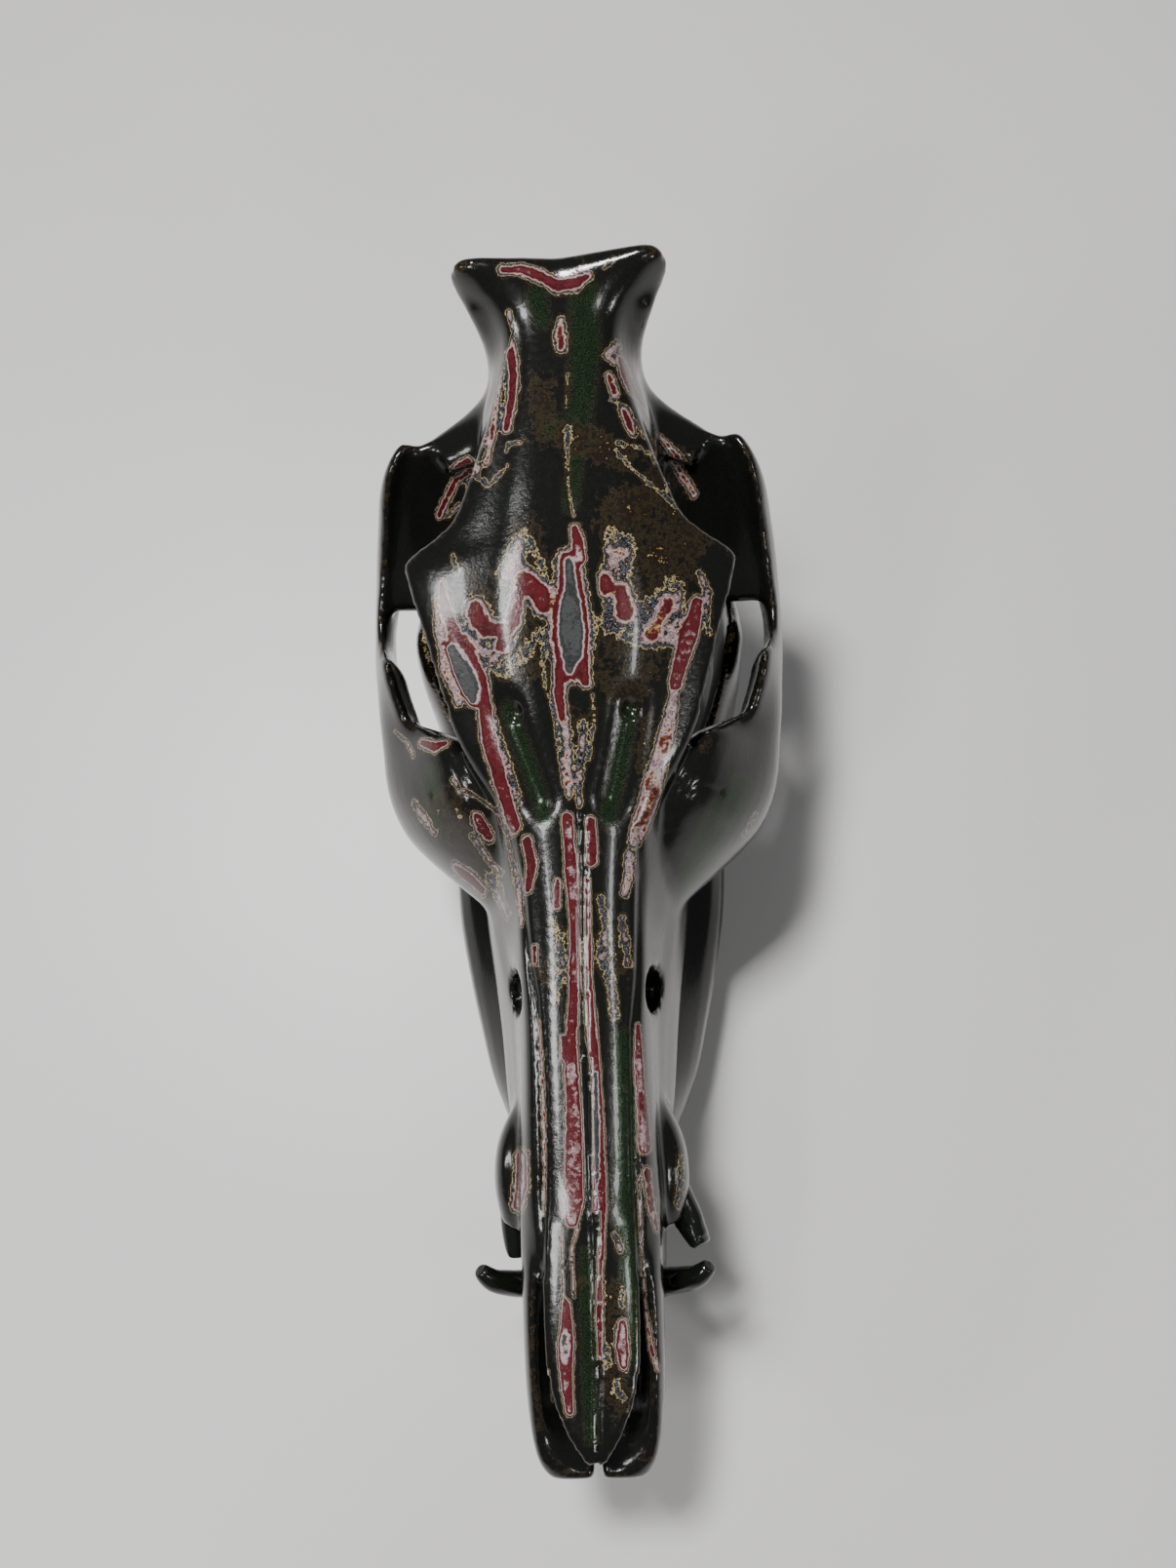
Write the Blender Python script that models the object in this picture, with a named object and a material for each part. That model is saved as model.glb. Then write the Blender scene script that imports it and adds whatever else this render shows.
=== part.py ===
"""A pig's skull with its lower jaw and teeth, as it stands on a table: drawn in millimetres, built in metres.

The snout points to -Y, +X is the side seen on the right from above, +Z is up, and the jaw rests on Z = 0.
"""

import math

import bmesh
import bpy
import numpy as np
from mathutils import Matrix, Vector

MM = 0.001

# The driving dimensions, with the length taken along the middle line. The tables are drawn for the drawn sizes, and
# all of them stretch to the driving ones.
SKULL_LENGTH, CHEEK_WIDTH, CREST_HEIGHT = 340.0, 130.0, 209.0
DRAWN_LENGTH, DRAWN_WIDTH, DRAWN_HEIGHT = 340.0, 130.0, 209.0
STRETCH = (CHEEK_WIDTH / DRAWN_WIDTH, SKULL_LENGTH / DRAWN_LENGTH, CREST_HEIGHT / DRAWN_HEIGHT)

# The room between a tooth and its socket.
SOCKET_GAP = 0.35

BONE_COLOUR = (0.045, 0.032, 0.028, 1)
TOOTH_COLOUR = (0.012, 0.012, 0.011, 1)
LACQUER_ROUGHNESS = 0.16

# The skin's grid, its smoothing and the share of its faces that stays.
SKIN_GRID = 1.7
SKIN_SMOOTHING = 4
CRANIUM_SHARE = 0.0288
JAW_SHARE = 0.0275

# How much further back the crest's right corner lies than its left one.
CREST_SKEW = 2.4

# Each cross-section of the cranium's core is its place along Y, then half of its outline as (x, z): from the
# midline of the roof over the temporal line, down the side wall to the tooth edge, and in to the palate's midline.
CORE = [
    (-170, (0, 81), (5, 82.5), (9.5, 82.5), (12.5, 81.5), (13.5, 80.5), (13.5, 79), (12.5, 77), (9.5, 75),
     (5, 74.5), (0, 75)),
    (-168, (0, 82.5), (6, 84), (11, 84.3), (14.5, 83), (16, 81), (16, 78.5), (14.5, 75.5), (11, 73.5),
     (5, 73), (0, 73.5)),
    (-163, (0, 81), (7, 83), (14, 87.5), (17.3, 86.5), (18.5, 83), (18.5, 80), (17, 76), (13.5, 73),
     (7, 72), (0, 72.5)),
    (-153, (0, 80), (7, 80.5), (13.5, 87), (17.3, 92), (20, 88), (20.3, 82), (19, 76), (15.5, 72),
     (9, 71), (0, 73)),
    (-138, (0, 83), (7, 83.5), (14, 91), (18, 98), (21, 92), (21.3, 85), (20, 77), (17, 72),
     (11, 71.5), (0, 74)),
    (-124, (0, 89), (7.5, 90), (14.5, 97), (18.3, 102.5), (21.2, 96), (21.5, 88), (20.5, 79), (17.5, 72),
     (12, 71.5), (0, 75)),
    (-110, (0, 97), (8, 100), (15, 104), (18.3, 106), (21.2, 99), (21.6, 90), (21, 80), (18.5, 72),
     (13, 71), (0, 75)),
    (-98, (0, 113.5), (9, 112.5), (16, 109.5), (18.5, 107), (21.2, 101), (22, 91), (21.5, 80), (20, 71.5),
     (14, 70), (0, 75)),
    (-80, (0, 118), (9, 117), (16, 114.3), (18.5, 111.5), (21.2, 104), (22.3, 93), (22.7, 82), (22.5, 70),
     (15.5, 69), (0, 74)),
    (-57, (0, 123.5), (9, 122.7), (15.8, 120), (18, 117), (20.3, 108), (21.5, 97), (24, 85), (26.5, 68),
     (17, 67), (0, 73)),
    (-34, (0, 129), (9, 128.5), (15.5, 125.7), (17.7, 122.5), (20, 113), (22, 101), (25.3, 87), (28.5, 67),
     (17.5, 66), (0, 72)),
    (-18, (0, 133.5), (9, 133), (15.5, 130), (18, 127), (20.7, 117), (23, 104), (27.3, 89), (30, 67),
     (18, 66), (0, 72)),
    (-2, (0, 138.5), (9, 138), (15.7, 135), (18.3, 131), (21.5, 121), (26, 107), (30.3, 91), (31.5, 67),
     (18.5, 66), (0, 72)),
    (14, (0, 144), (9.5, 143.5), (17, 140.5), (20, 135), (24.5, 124), (29, 110), (32.3, 92), (32.5, 68),
     (19, 66.5), (0, 72)),
    (27, (0, 149), (10.5, 148.5), (21.5, 144.5), (24.5, 138.5), (27.5, 127), (30.3, 112), (32.3, 94), (32.5, 68),
     (19.5, 67), (0, 72)),
    (40, (0, 154.5), (14, 154), (30, 148.5), (31, 141), (29, 130), (28.5, 116), (29.5, 98), (31.5, 69),
     (19.5, 68), (0, 73)),
    (52, (0, 160), (16.5, 159.5), (36.5, 151), (33.5, 145), (24, 136), (18.5, 124), (20.5, 104), (26.5, 76),
     (17, 71), (0, 75)),
    (66, (0, 166), (18.5, 165.5), (40.5, 156), (35.5, 150.5), (21, 143), (14.5, 128), (14.5, 108), (18.5, 84),
     (13, 78), (0, 80)),
    (80, (0, 172.5), (20, 171.5), (44.5, 160.5), (38, 155.5), (21, 148), (14.5, 132), (13.5, 112), (14.5, 92),
     (9, 87), (0, 88)),
    (93, (0, 178.2), (20.5, 176.7), (48.3, 163), (40.5, 158), (22.5, 152), (18.5, 138), (17.5, 118), (15.5, 98),
     (10, 93), (0, 93)),
    (98.5, (0, 180.8), (19, 179), (47.3, 164.2), (39.5, 159.5), (24, 153), (21, 140), (20.5, 120), (17.5, 101),
     (11, 95), (0, 94)),
    (105, (0, 183.4), (17, 181.9), (34.5, 172.9), (31, 166), (26, 156), (25, 142), (24, 122), (20, 104),
     (12, 97), (0, 95)),
    (113, (0, 186.5), (15, 185.5), (29.3, 178), (28, 171), (27, 159), (27, 144), (26, 124), (22, 106),
     (12, 98), (0, 95)),
    (127, (0, 192), (12, 191.3), (22, 186.5), (24, 178), (26.5, 166), (27, 150), (26.5, 131), (22, 113),
     (13, 103), (0, 98)),
    (140, (0, 197), (9.5, 196.5), (16.5, 192.7), (20, 185), (24, 172), (25.5, 157), (24.5, 140), (20, 124),
     (13, 114), (0, 109)),
    (149, (0, 200.5), (8.5, 200.2), (14.5, 197), (17.5, 189.5), (20.8, 178), (22.3, 165), (22, 151), (18.5, 138),
     (12.5, 130), (0, 127)),
    (156, (0, 203.5), (8.5, 203.5), (15.5, 201), (18.5, 195), (21.5, 186), (22.5, 176), (22, 165), (18, 155),
     (12, 149), (0, 147)),
    (162.5, (0, 206.5), (10, 207.3), (20.5, 206), (24.5, 201), (26.8, 194), (26, 187), (23.5, 180), (18, 172),
     (11.5, 168), (0, 167)),
    (167, (0, 207), (11, 208.8), (25.5, 210.5), (30, 206), (30.7, 199.5), (29.5, 194), (26, 188.5), (18.5, 183),
     (11, 180), (0, 180)),
    (170, (0, 204.5), (11, 206.8), (24, 209.5), (27.5, 206), (28.3, 201), (27, 197.5), (24, 194), (17.5, 191),
     (10, 190), (0, 190)),
]

# The cross-sections of a cheek arch, and of half of the lower jaw further down, go round a plate as (x, z) after
# the place along Y: the top edge, the outer side above and below, the bottom edge, the inner side below and above.
CHEEK_ARCH = [
    (-7, (16, 104), (20, 101), (22, 93), (19.5, 87), (14, 90), (13, 100)),
    (4, (20, 112), (27, 106), (31, 94), (28, 84), (18, 86), (16, 104)),
    (13, (24, 121), (35, 112), (41, 96), (38, 82), (26, 84), (19, 110)),
    (21, (28, 131), (43, 119), (50, 99), (47, 80), (34, 84), (24, 116)),
    (28, (30, 139), (47, 124), (56, 101), (53.5, 79), (42, 86), (26, 120)),
    (36, (33, 142), (50.5, 124), (60, 102), (57.5, 78), (48, 85), (27, 118)),
    (44, (36, 142), (52.5, 123), (62, 103), (60, 79), (52, 85), (27, 116)),
    (50, (39, 139), (53.8, 121.5), (62.7, 103), (60.6, 79.5), (53.5, 85.5), (30, 114)),
    (54.5, (44, 131), (55, 120), (63.1, 103.1), (61, 80), (54.5, 86), (41, 111)),
    (59, (52, 125), (57, 119.2), (63.6, 103.3), (61.6, 80.6), (55.4, 86.6), (49, 109)),
    (64, (54.5, 127), (58.6, 120.5), (64.1, 103.6), (62.2, 81.3), (56.4, 87.3), (51, 110)),
    (70, (56.5, 131), (60.3, 123), (64.4, 104), (62.6, 82), (57.5, 88), (53, 112)),
    (76, (57.5, 134), (61, 126), (64.7, 104.5), (63, 83), (58.5, 89), (54.5, 114)),
    (80, (59, 127), (62.2, 121), (64.9, 105), (63.2, 84), (59.5, 90), (57.5, 114)),
    (86, (61, 121), (63.2, 116), (65, 105), (63.3, 86), (60, 91), (59.3, 110)),
    (95, (61.3, 121), (63.4, 116), (64.9, 105), (63.2, 90), (60, 94), (59, 111)),
    (104, (60, 125), (62.8, 118), (64.3, 108), (62, 95), (58, 98), (57.5, 112)),
    (113, (58, 132), (61.6, 125), (63.3, 113), (60, 102), (55, 104), (55, 116)),
    (121, (56.5, 140), (60.3, 132), (61.8, 119), (57, 106), (51, 108), (52.5, 121)),
    (128, (54.5, 146.5), (58.8, 140), (60, 127), (54.5, 111), (48.5, 112), (50, 126)),
    (134, (52, 150.5), (56, 146), (56.8, 135), (51, 119), (45.5, 119), (48, 133)),
    (140, (48.5, 151), (52, 148), (52, 139), (47, 128), (42.5, 128), (45, 139)),
]

# The shelf that joins the braincase to the arch over the jaw's joint goes round as (x, z): inner, middle and outer
# points of its top, then the outer, middle and inner points of its underside.
SHELF = [
    (97, (19, 118), (38, 116), (57.5, 118), (57.5, 114), (38, 111.5), (19, 112)),
    (102, (18, 125), (38, 121), (58.5, 121), (58.5, 113.5), (38, 110.8), (18, 112)),
    (110, (16, 129), (38, 124), (57.5, 126), (57.5, 114), (38, 111.2), (16, 112)),
    (120, (16, 134), (36, 130), (55, 135), (55, 118), (38, 113.5), (16, 114)),
    (130, (18, 142), (35, 138), (53, 143), (53, 124), (36, 120), (18, 118)),
    (137, (20, 150), (35, 146), (50.5, 148), (50.5, 132), (36, 128), (20, 126)),
    (141, (20, 156), (31, 151), (42, 148), (42, 140), (33, 137), (20, 140)),
]

JAW_HALF = [
    (-154, (8, 66), (13, 64), (12, 58), (7, 53), (-2, 52), (-2, 65)),
    (-141, (11, 67), (17, 64), (16, 53), (9, 43), (-2, 41), (-2, 62)),
    (-126, (14, 68), (20, 63), (19, 45), (11, 28), (-2, 25), (-2, 57)),
    (-111, (17, 69), (22, 62), (21, 38), (13, 15), (-2, 12), (-2, 52)),
    (-96, (18, 64), (22.5, 58), (22, 33), (14, 5), (-2, 4), (-2, 45)),
    (-83, (18, 60), (22.5, 55), (23, 30), (15, 1.5), (1, 3), (4, 42)),
    (-71, (18.5, 57.5), (23.5, 53), (26, 29), (18, 0.3), (9, 6), (12, 41)),
    (-62, (19, 56), (25, 52), (28.5, 29), (20.5, 0), (12, 7), (14, 42)),
    (-45, (20.5, 54.5), (27.5, 50), (35, 30), (25.5, 0), (16.5, 8), (16, 42)),
    (-28, (22, 53.5), (29.5, 49), (39, 31), (29, 0.2), (20, 9), (17.5, 42)),
    (-11, (23.5, 53), (31.5, 48), (42.5, 32), (32, 0.4), (23.5, 10), (19, 42)),
    (9, (25, 52.5), (34, 48), (45.7, 33), (35, 0.6), (27, 10), (20.5, 42)),
    (28, (26.5, 52.5), (37, 49), (47, 33), (37.5, 0.6), (30, 9), (22, 42)),
    (44, (28.5, 53), (40.5, 51), (49, 33), (41, 0.3), (34, 8), (25, 42)),
    (54, (32, 55), (43, 53), (49.7, 32), (43.5, 0), (37, 8), (29, 43)),
    (62, (39, 66), (46, 60), (50, 31), (45, 0), (39.5, 8), (34.5, 48)),
    (70, (43.5, 84), (48.3, 72), (50.3, 31), (46.5, 0.3), (42, 8), (39, 58)),
    (78, (46, 104), (51.3, 88), (50.7, 32), (47.5, 1.3), (43.5, 9), (42, 70)),
    (87, (47, 117), (52.6, 100), (51.2, 34), (48.5, 3), (45, 11), (44, 78)),
    (95, (47.3, 109), (52.3, 98), (51.5, 36), (49.3, 7), (46, 14), (44.3, 78)),
    (103, (47, 103), (51, 94), (51.5, 38), (49.7, 11), (46.5, 18), (44.3, 78)),
    (111, (46.7, 102), (49.2, 92), (51.2, 40), (49.7, 16), (46.5, 24), (44, 78)),
    (118, (46, 97), (48.2, 88), (50.2, 44), (49, 24), (46.3, 32), (43.7, 76)),
    (123, (45.5, 88), (47, 80), (48.5, 50), (48, 34), (46, 40), (44.5, 70)),
]

# Rods laid over the core give the bones that stand out from it, as points (x, y, z, half width, half depth).
SIDE_BONES = {
    "lambdoid_crest": [
        (24, 163, 196, 3.5, 4), (20, 158, 180, 3.5, 5), (19.5, 153, 167, 3.5, 6), (22, 147, 157, 4, 7),
        (29, 141, 150, 4, 8), (39, 137, 145, 3.5, 7),
    ],
    "throat_process": [(20, 132, 120, 6, 7), (25, 132, 104, 5, 6), (26, 129, 86, 3.6, 5), (25, 125, 70, 2.6, 3.4)],
    "pterygoid_wing": [(11, 52, 78, 2.4, 8), (13, 66, 76, 2.4, 8), (14, 76, 75, 2.4, 7), (15.5, 83, 68, 2.2, 3)],
    "tusk_bulge": [(20, -56, 88, 3, 8), (24, -68, 86, 5, 12), (25.3, -80, 83, 5.3, 12), (24.5, -92, 78, 4.4, 8)],
}
NASAL_ROOF = [
    (0, -164, 99.5, 3, 1.8), (0, -157, 100.8, 8, 2.2), (0, -147, 102.2, 12.5, 2.6), (0, -135, 104.4, 15, 2.8),
    (0, -120, 107.4, 15.8, 3), (0, -104, 110.2, 15.8, 3), (0, -88, 112.6, 15.2, 3),
]

# Round bones on both sides, as centre and half sizes.
NECK_KNUCKLE = ((11.5, 137, 106), (8.5, 9, 10.5))
EAR_BULB = ((18, 108, 91), (7.5, 9, 15))
JAW_KNUCKLE = ((44, 110, 103.5), (9.5, 6.3, 5.6))

# Openings cut into the cranium, as centre, half sizes and the lean (about X, then about Z) in degrees.
MIDLINE_OPENINGS = {
    "nose": ((0, -108, 92), (12, 32, 12), (-8, 0)),
    "throat": ((0, 80, 98), (9, 26, 10), (18, 0)),
    "spinal": ((0, 140, 117), (8.5, 16, 8.5), (-25, 0)),
    "snout_cleft": ((0, -168, 84), (1.6, 9, 30), (0, 0)),
}
SIDE_OPENINGS = {
    "under_eye": ((20.8, -23.8, 110), (3.7, 7.2, 15), (0, -8)),
    "tear_duct_upper": ((37, 53, 140), (2, 6, 2), (0, 0)),
    "tear_duct_lower": ((42.5, 54, 133), (2, 6, 2), (0, 0)),
    "brow_groove": ((13.4, 36, 158.3), (5, 18.5, 4.6), (22, 13)),
    "palate_slot": ((6, -140, 74), (2.4, 11, 7), (0, 0)),
}

# Cheek teeth: x, y, the neck's height, half width across, half length along the row.
UPPER_CHEEK_TEETH = {
    "premolar_1": (21, -59, 68, 2.2, 3.6), "premolar_2": (22, -47, 67.5, 2.8, 5.2),
    "premolar_3": (22.8, -34.5, 67.2, 3.6, 5.8), "premolar_4": (23.6, -22, 67, 4.8, 5.6),
    "molar_1": (24.4, -8.5, 67, 5.2, 6.8), "molar_2": (25.2, 7.5, 67.3, 5.8, 8.2),
    "molar_3": (25.6, 28, 67.8, 5.6, 11.2),
}
LOWER_CHEEK_TEETH = {
    "premolar_1": (18.6, -68, 56.5, 1.9, 3.2), "premolar_2": (20.5, -48, 54.5, 2.3, 5),
    "premolar_3": (21.7, -35, 54, 2.8, 5.6), "premolar_4": (23, -22, 53.5, 3.5, 6),
    "molar_1": (24.3, -8, 53, 4.2, 6.8), "molar_2": (25.6, 8.5, 52.8, 4.6, 8.6),
    "molar_3": (27.2, 31, 52.8, 4.6, 12.5),
}
CROWN_HEIGHT = 6.4
ROOT_DEPTH = 5.0

# Front teeth as rods (x, y, z, half width, half depth), from the root to the tip; the first points are in the bone.
UPPER_FRONT_TEETH = {
    "incisor_1": [
        (9.5, -157, 79, 2.4, 2), (9.3, -163, 75, 3.2, 2.4), (7.8, -166.5, 69.5, 3.6, 2), (6.4, -168, 65.5, 2.6, 1.2),
    ],
    "incisor_2": [(15, -142, 79, 2.2, 2.4), (15.5, -146, 73, 2.8, 2.8), (15, -148.5, 68, 2.6, 2)],
    "incisor_3": [(17, -122, 78, 1.9, 2.2), (17.6, -124, 72.5, 2.3, 2.6), (17.8, -125.5, 69.5, 1.7, 1.8)],
}
LOWER_FRONT_TEETH = {
    "incisor_1": [(3.6, -144, 58.5, 1.5, 1.6), (3.5, -152, 62.5, 1.9, 2), (3.3, -160.5, 68.5, 2.3, 1.2)],
    "incisor_2": [(9.3, -140, 60, 1.5, 1.6), (9.3, -148, 64, 1.9, 2), (9.2, -156, 68.6, 2.2, 1.2)],
    "incisor_3": [(13.8, -130, 62, 1.9, 2), (14.6, -134, 66.5, 2.2, 2.2), (15, -137, 69.3, 1.6, 1.4)],
}
RIGHT_UPPER_TUSK = [
    (23.5, -77, 86, 4.2, 4.2), (27, -87, 80, 5.2, 4.6), (30, -93.5, 77, 5.4, 4.4), (32.4, -98.5, 76.5, 5.2, 3.8),
    (33.6, -101, 76.8, 4.4, 2.6),
]
LEFT_UPPER_TUSK = [
    (23.5, -77, 86, 4.2, 4.2), (24.6, -88, 80, 4.6, 4.2), (24.8, -97, 76.5, 4, 3.6), (24.6, -103, 75, 2.8, 2.4),
]
LOWER_TUSK = [
    (16.5, -117, 54, 3.8, 3.8), (21.5, -113, 62, 4.4, 4.4), (27, -112, 68.5, 4.6, 4.2), (32, -110.8, 73.5, 4.2, 3.6),
    (35.6, -107.8, 77, 2.6, 2.4),
]


def clear_scene():
    for obj in list(bpy.data.objects):
        bpy.data.objects.remove(obj, do_unlink=True)


def curve_through(points, steps, closed=False):
    """Points on a smooth curve through the given ones, with `steps` of them for each gap."""
    rows = np.array(points, float)
    count = len(rows)
    made = []
    for i in range(count if closed else count - 1):
        if closed:
            a, b, c, d = (rows[(i + k) % count] for k in (-1, 0, 1, 2))
        else:
            a, b, c, d = (rows[min(max(i + k, 0), count - 1)] for k in (-1, 0, 1, 2))
        for step in range(steps):
            t = step / steps
            bend = (2 * a - 5 * b + 4 * c - d) * t * t + (3 * b - a - 3 * c + d) * t ** 3
            made.append(0.5 * (2 * b + (c - a) * t + bend))
    if not closed:
        made.append(rows[-1])
    return made


def loft(bm, rings):
    """Faces between rings of equal length, with both ends closed."""
    layers = [[bm.verts.new(Vector(point)) for point in ring] for ring in rings]
    count = len(layers[0])
    for near, far in zip(layers, layers[1:]):
        for i in range(count):
            j = (i + 1) % count
            bm.faces.new((near[i], near[j], far[j], far[i]))
    bm.faces.new(list(reversed(layers[0])))
    bm.faces.new(layers[-1])


def rings_along(sections, steps):
    """Rings between cross-sections, `steps` for each gap between two of them."""
    rows = curve_through([np.array(ring, float).ravel() for ring in sections], steps)
    return [row.reshape(-1, 3) for row in rows]


def core_rings():
    """Rings of the core, with the crest's right corner drawn a little further back than its left one."""
    sections = []
    for y, *half in CORE:
        half = curve_through(half, 2)
        outline = [(x, y, z) for x, z in half] + [(-x, y, z) for x, z in reversed(half[1:-1])]
        reach = CREST_SKEW * max(0, (y - 145) / 25) ** 2
        sections.append([(x, y + reach * min(max(x / 50 + 0.5, 0), 1), z) for x, y, z in outline])
    return rings_along(sections, 3)


def plate_rings(table, side):
    """Rings of a lofted plate on the right (side 1) or on the left (side -1)."""
    sections = []
    for y, *outline in table:
        outline = curve_through(outline, 3, closed=True)
        sections.append([(side * x, y, z) for x, z in outline])
    return rings_along(sections, 3)


def rod(bm, path, steps=3, sides=10, grow=0.0):
    """A rod along the path's points (x, y, z, half width, half depth), made thicker by `grow` all round."""
    rows = curve_through(path, steps)
    whole = (Vector(rows[-1][:3]) - Vector(rows[0][:3])).normalized()
    upright = Vector((0, 1, 0)) if abs(whole.y) < 0.9 else Vector((0, 0, 1))
    rings = []
    for i, row in enumerate(rows):
        here = Vector(row[:3])
        before = Vector(rows[max(i - 1, 0)][:3])
        after = Vector(rows[min(i + 1, len(rows) - 1)][:3])
        ahead = (after - before).normalized()
        across = ahead.cross(upright).normalized()
        deep = ahead.cross(across)
        ring = []
        for k in range(sides):
            turn = 2 * math.pi * k / sides
            ring.append(here + across * (row[3] + grow) * math.cos(turn) + deep * (row[4] + grow) * math.sin(turn))
        if grow and i in (0, len(rows) - 1):
            ring = [point + ahead * grow * (-1 if i == 0 else 1) for point in ring]
        rings.append(ring)
    loft(bm, rings)


def mirrored(path, side):
    return [(side * x, *rest) for x, *rest in path]


def ball(bm, centre, radii, lean=(0, 0), segments=14, rings=9):
    turn = Matrix.Rotation(math.radians(lean[1]), 4, "Z") @ Matrix.Rotation(math.radians(lean[0]), 4, "X")
    shape = Matrix.Translation(centre) @ turn @ Matrix.Diagonal((*radii, 1.0))
    bmesh.ops.create_uvsphere(bm, u_segments=segments, v_segments=rings, radius=1.0, matrix=shape)


def lacquer(name):
    """The dark lacquer of one sub-part, browner on bone than on teeth."""
    coat = bpy.data.materials.new(f"{name}_lacquer")
    coat.use_nodes = True
    shader = coat.node_tree.nodes["Principled BSDF"]
    shader.inputs["Base Color"].default_value = BONE_COLOUR if name in ("cranium", "lower_jaw") else TOOTH_COLOUR
    shader.inputs["Roughness"].default_value = LACQUER_ROUGHNESS
    shader.inputs["Metallic"].default_value = 0.0
    return coat


def finish_object(name, bm, hidden=False):
    """A mesh object in metres from a bmesh in millimetres; a hidden one is a cutter."""
    for vert in bm.verts:
        vert.co = [vert.co[k] * STRETCH[k] * MM for k in range(3)]
    bmesh.ops.recalc_face_normals(bm, faces=bm.faces)
    bmesh.ops.triangulate(bm, faces=bm.faces)
    mesh = bpy.data.meshes.new(name)
    bm.to_mesh(mesh)
    bm.free()
    obj = bpy.data.objects.new(name, mesh)
    bpy.context.scene.collection.objects.link(obj)
    if hidden:
        obj.hide_render = True
        obj.display_type = "WIRE"
    else:
        mesh.materials.append(lacquer(name))
        mesh.shade_smooth()
    return obj


def make_cranium_forms():
    bm = bmesh.new()
    loft(bm, core_rings())
    rod(bm, NASAL_ROOF, sides=12)
    for side in (1, -1):
        loft(bm, plate_rings(CHEEK_ARCH, side))
        loft(bm, plate_rings(SHELF, side))
        for path in SIDE_BONES.values():
            rod(bm, mirrored(path, side))
        for (x, y, z), radii in (NECK_KNUCKLE, EAR_BULB):
            ball(bm, (side * x, y, z), radii)
    return finish_object("cranium", bm)


def make_jaw_forms():
    bm = bmesh.new()
    x, y, z = JAW_KNUCKLE[0]
    for side in (1, -1):
        loft(bm, plate_rings(JAW_HALF, side))
        ball(bm, (side * x, y, z), JAW_KNUCKLE[1])
    return finish_object("lower_jaw", bm)


def wrap(obj):
    """The overlapping forms become one skin."""
    skin = obj.modifiers.new("one_skin", "REMESH")
    skin.mode = "VOXEL"
    skin.voxel_size = SKIN_GRID * MM


def smooth_and_thin(obj, share):
    smooth = obj.modifiers.new("smooth", "SMOOTH")
    smooth.factor = 0.5
    smooth.iterations = SKIN_SMOOTHING
    thin = obj.modifiers.new("thin", "DECIMATE")
    thin.ratio = share


def cut(obj, cutter, crossing=False):
    """Cut with a mesh of several closed pieces; `crossing` is for pieces or a skin that cross themselves."""
    hole = obj.modifiers.new(cutter.name, "BOOLEAN")
    hole.operation = "DIFFERENCE"
    hole.solver = "EXACT"
    hole.use_self = crossing
    hole.object = cutter


def make_openings():
    bm = bmesh.new()
    for centre, radii, lean in MIDLINE_OPENINGS.values():
        ball(bm, centre, radii, lean, segments=12, rings=7)
    for (x, y, z), radii, (lean_x, lean_z) in SIDE_OPENINGS.values():
        for side in (1, -1):
            ball(bm, (side * x, y, z), radii, (lean_x, side * lean_z), segments=8, rings=5)
    return finish_object("openings", bm, hidden=True)


def cheek_tooth(bm, tooth, side, up, grow=0.0, root_only=False):
    """A molar or premolar: up is 1 for a tooth of the lower jaw, whose crown points up, and -1 for an upper one."""
    x, y, neck, half_width, half_length = tooth
    sides = 8 if half_length > 6.5 else 6
    levels = [(-ROOT_DEPTH, 0.72), (0, 0.88), (0.45 * CROWN_HEIGHT, 1.0), (CROWN_HEIGHT, 0.84)]
    if root_only:
        levels = [(-ROOT_DEPTH - grow, 0.72), (0.45 * CROWN_HEIGHT, 1.0)]
    rings = []
    for height, scale in levels:
        ring = []
        for k in range(sides):
            turn = 2 * math.pi * (k + 0.5) / sides
            ring.append((side * x + (half_width * scale + grow) * math.cos(turn),
                         y + (half_length * scale + grow) * math.sin(turn), neck + up * height))
        rings.append(ring)
    loft(bm, rings)


def front_tooth_paths(upper):
    """Name and path of every front tooth of one jaw, left and right."""
    paths = {}
    for name, path in (UPPER_FRONT_TEETH if upper else LOWER_FRONT_TEETH).items():
        paths[f"{name}_right"] = mirrored(path, 1)
        paths[f"{name}_left"] = mirrored(path, -1)
    paths["canine_right"] = mirrored(RIGHT_UPPER_TUSK if upper else LOWER_TUSK, 1)
    paths["canine_left"] = mirrored(LEFT_UPPER_TUSK if upper else LOWER_TUSK, -1)
    return paths


def make_teeth(upper):
    """Every tooth of one jaw as its own object, and the cutter for all of their sockets."""
    place = "upper" if upper else "lower"
    sockets = bmesh.new()
    for name, path in front_tooth_paths(upper).items():
        bm = bmesh.new()
        rod(bm, path, steps=1, sides=6)
        finish_object(f"{place}_{name}", bm)
        rod(sockets, path, steps=1, sides=6, grow=SOCKET_GAP)
    for name, tooth in (UPPER_CHEEK_TEETH if upper else LOWER_CHEEK_TEETH).items():
        for side, side_name in ((1, "right"), (-1, "left")):
            bm = bmesh.new()
            cheek_tooth(bm, tooth, side, -1 if upper else 1)
            finish_object(f"{place}_{name}_{side_name}", bm)
            cheek_tooth(sockets, tooth, side, -1 if upper else 1, grow=SOCKET_GAP, root_only=True)
    return finish_object(f"{place}_sockets", sockets, hidden=True)


def stand_on_origin():
    """Moves every object so that the skull stands on Z = 0 with its box centred on the origin."""
    bpy.context.view_layer.update()
    graph = bpy.context.evaluated_depsgraph_get()
    corners = []
    for obj in bpy.data.objects:
        if not obj.hide_render:
            mesh = obj.evaluated_get(graph).to_mesh()
            corners += [vert.co.copy() for vert in mesh.vertices]
            obj.evaluated_get(graph).to_mesh_clear()
    low = Vector(min(corner[k] for corner in corners) for k in range(3))
    high = Vector(max(corner[k] for corner in corners) for k in range(3))
    for obj in bpy.data.objects:
        obj.location -= Vector(((low.x + high.x) / 2, (low.y + high.y) / 2, low.z))


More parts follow.
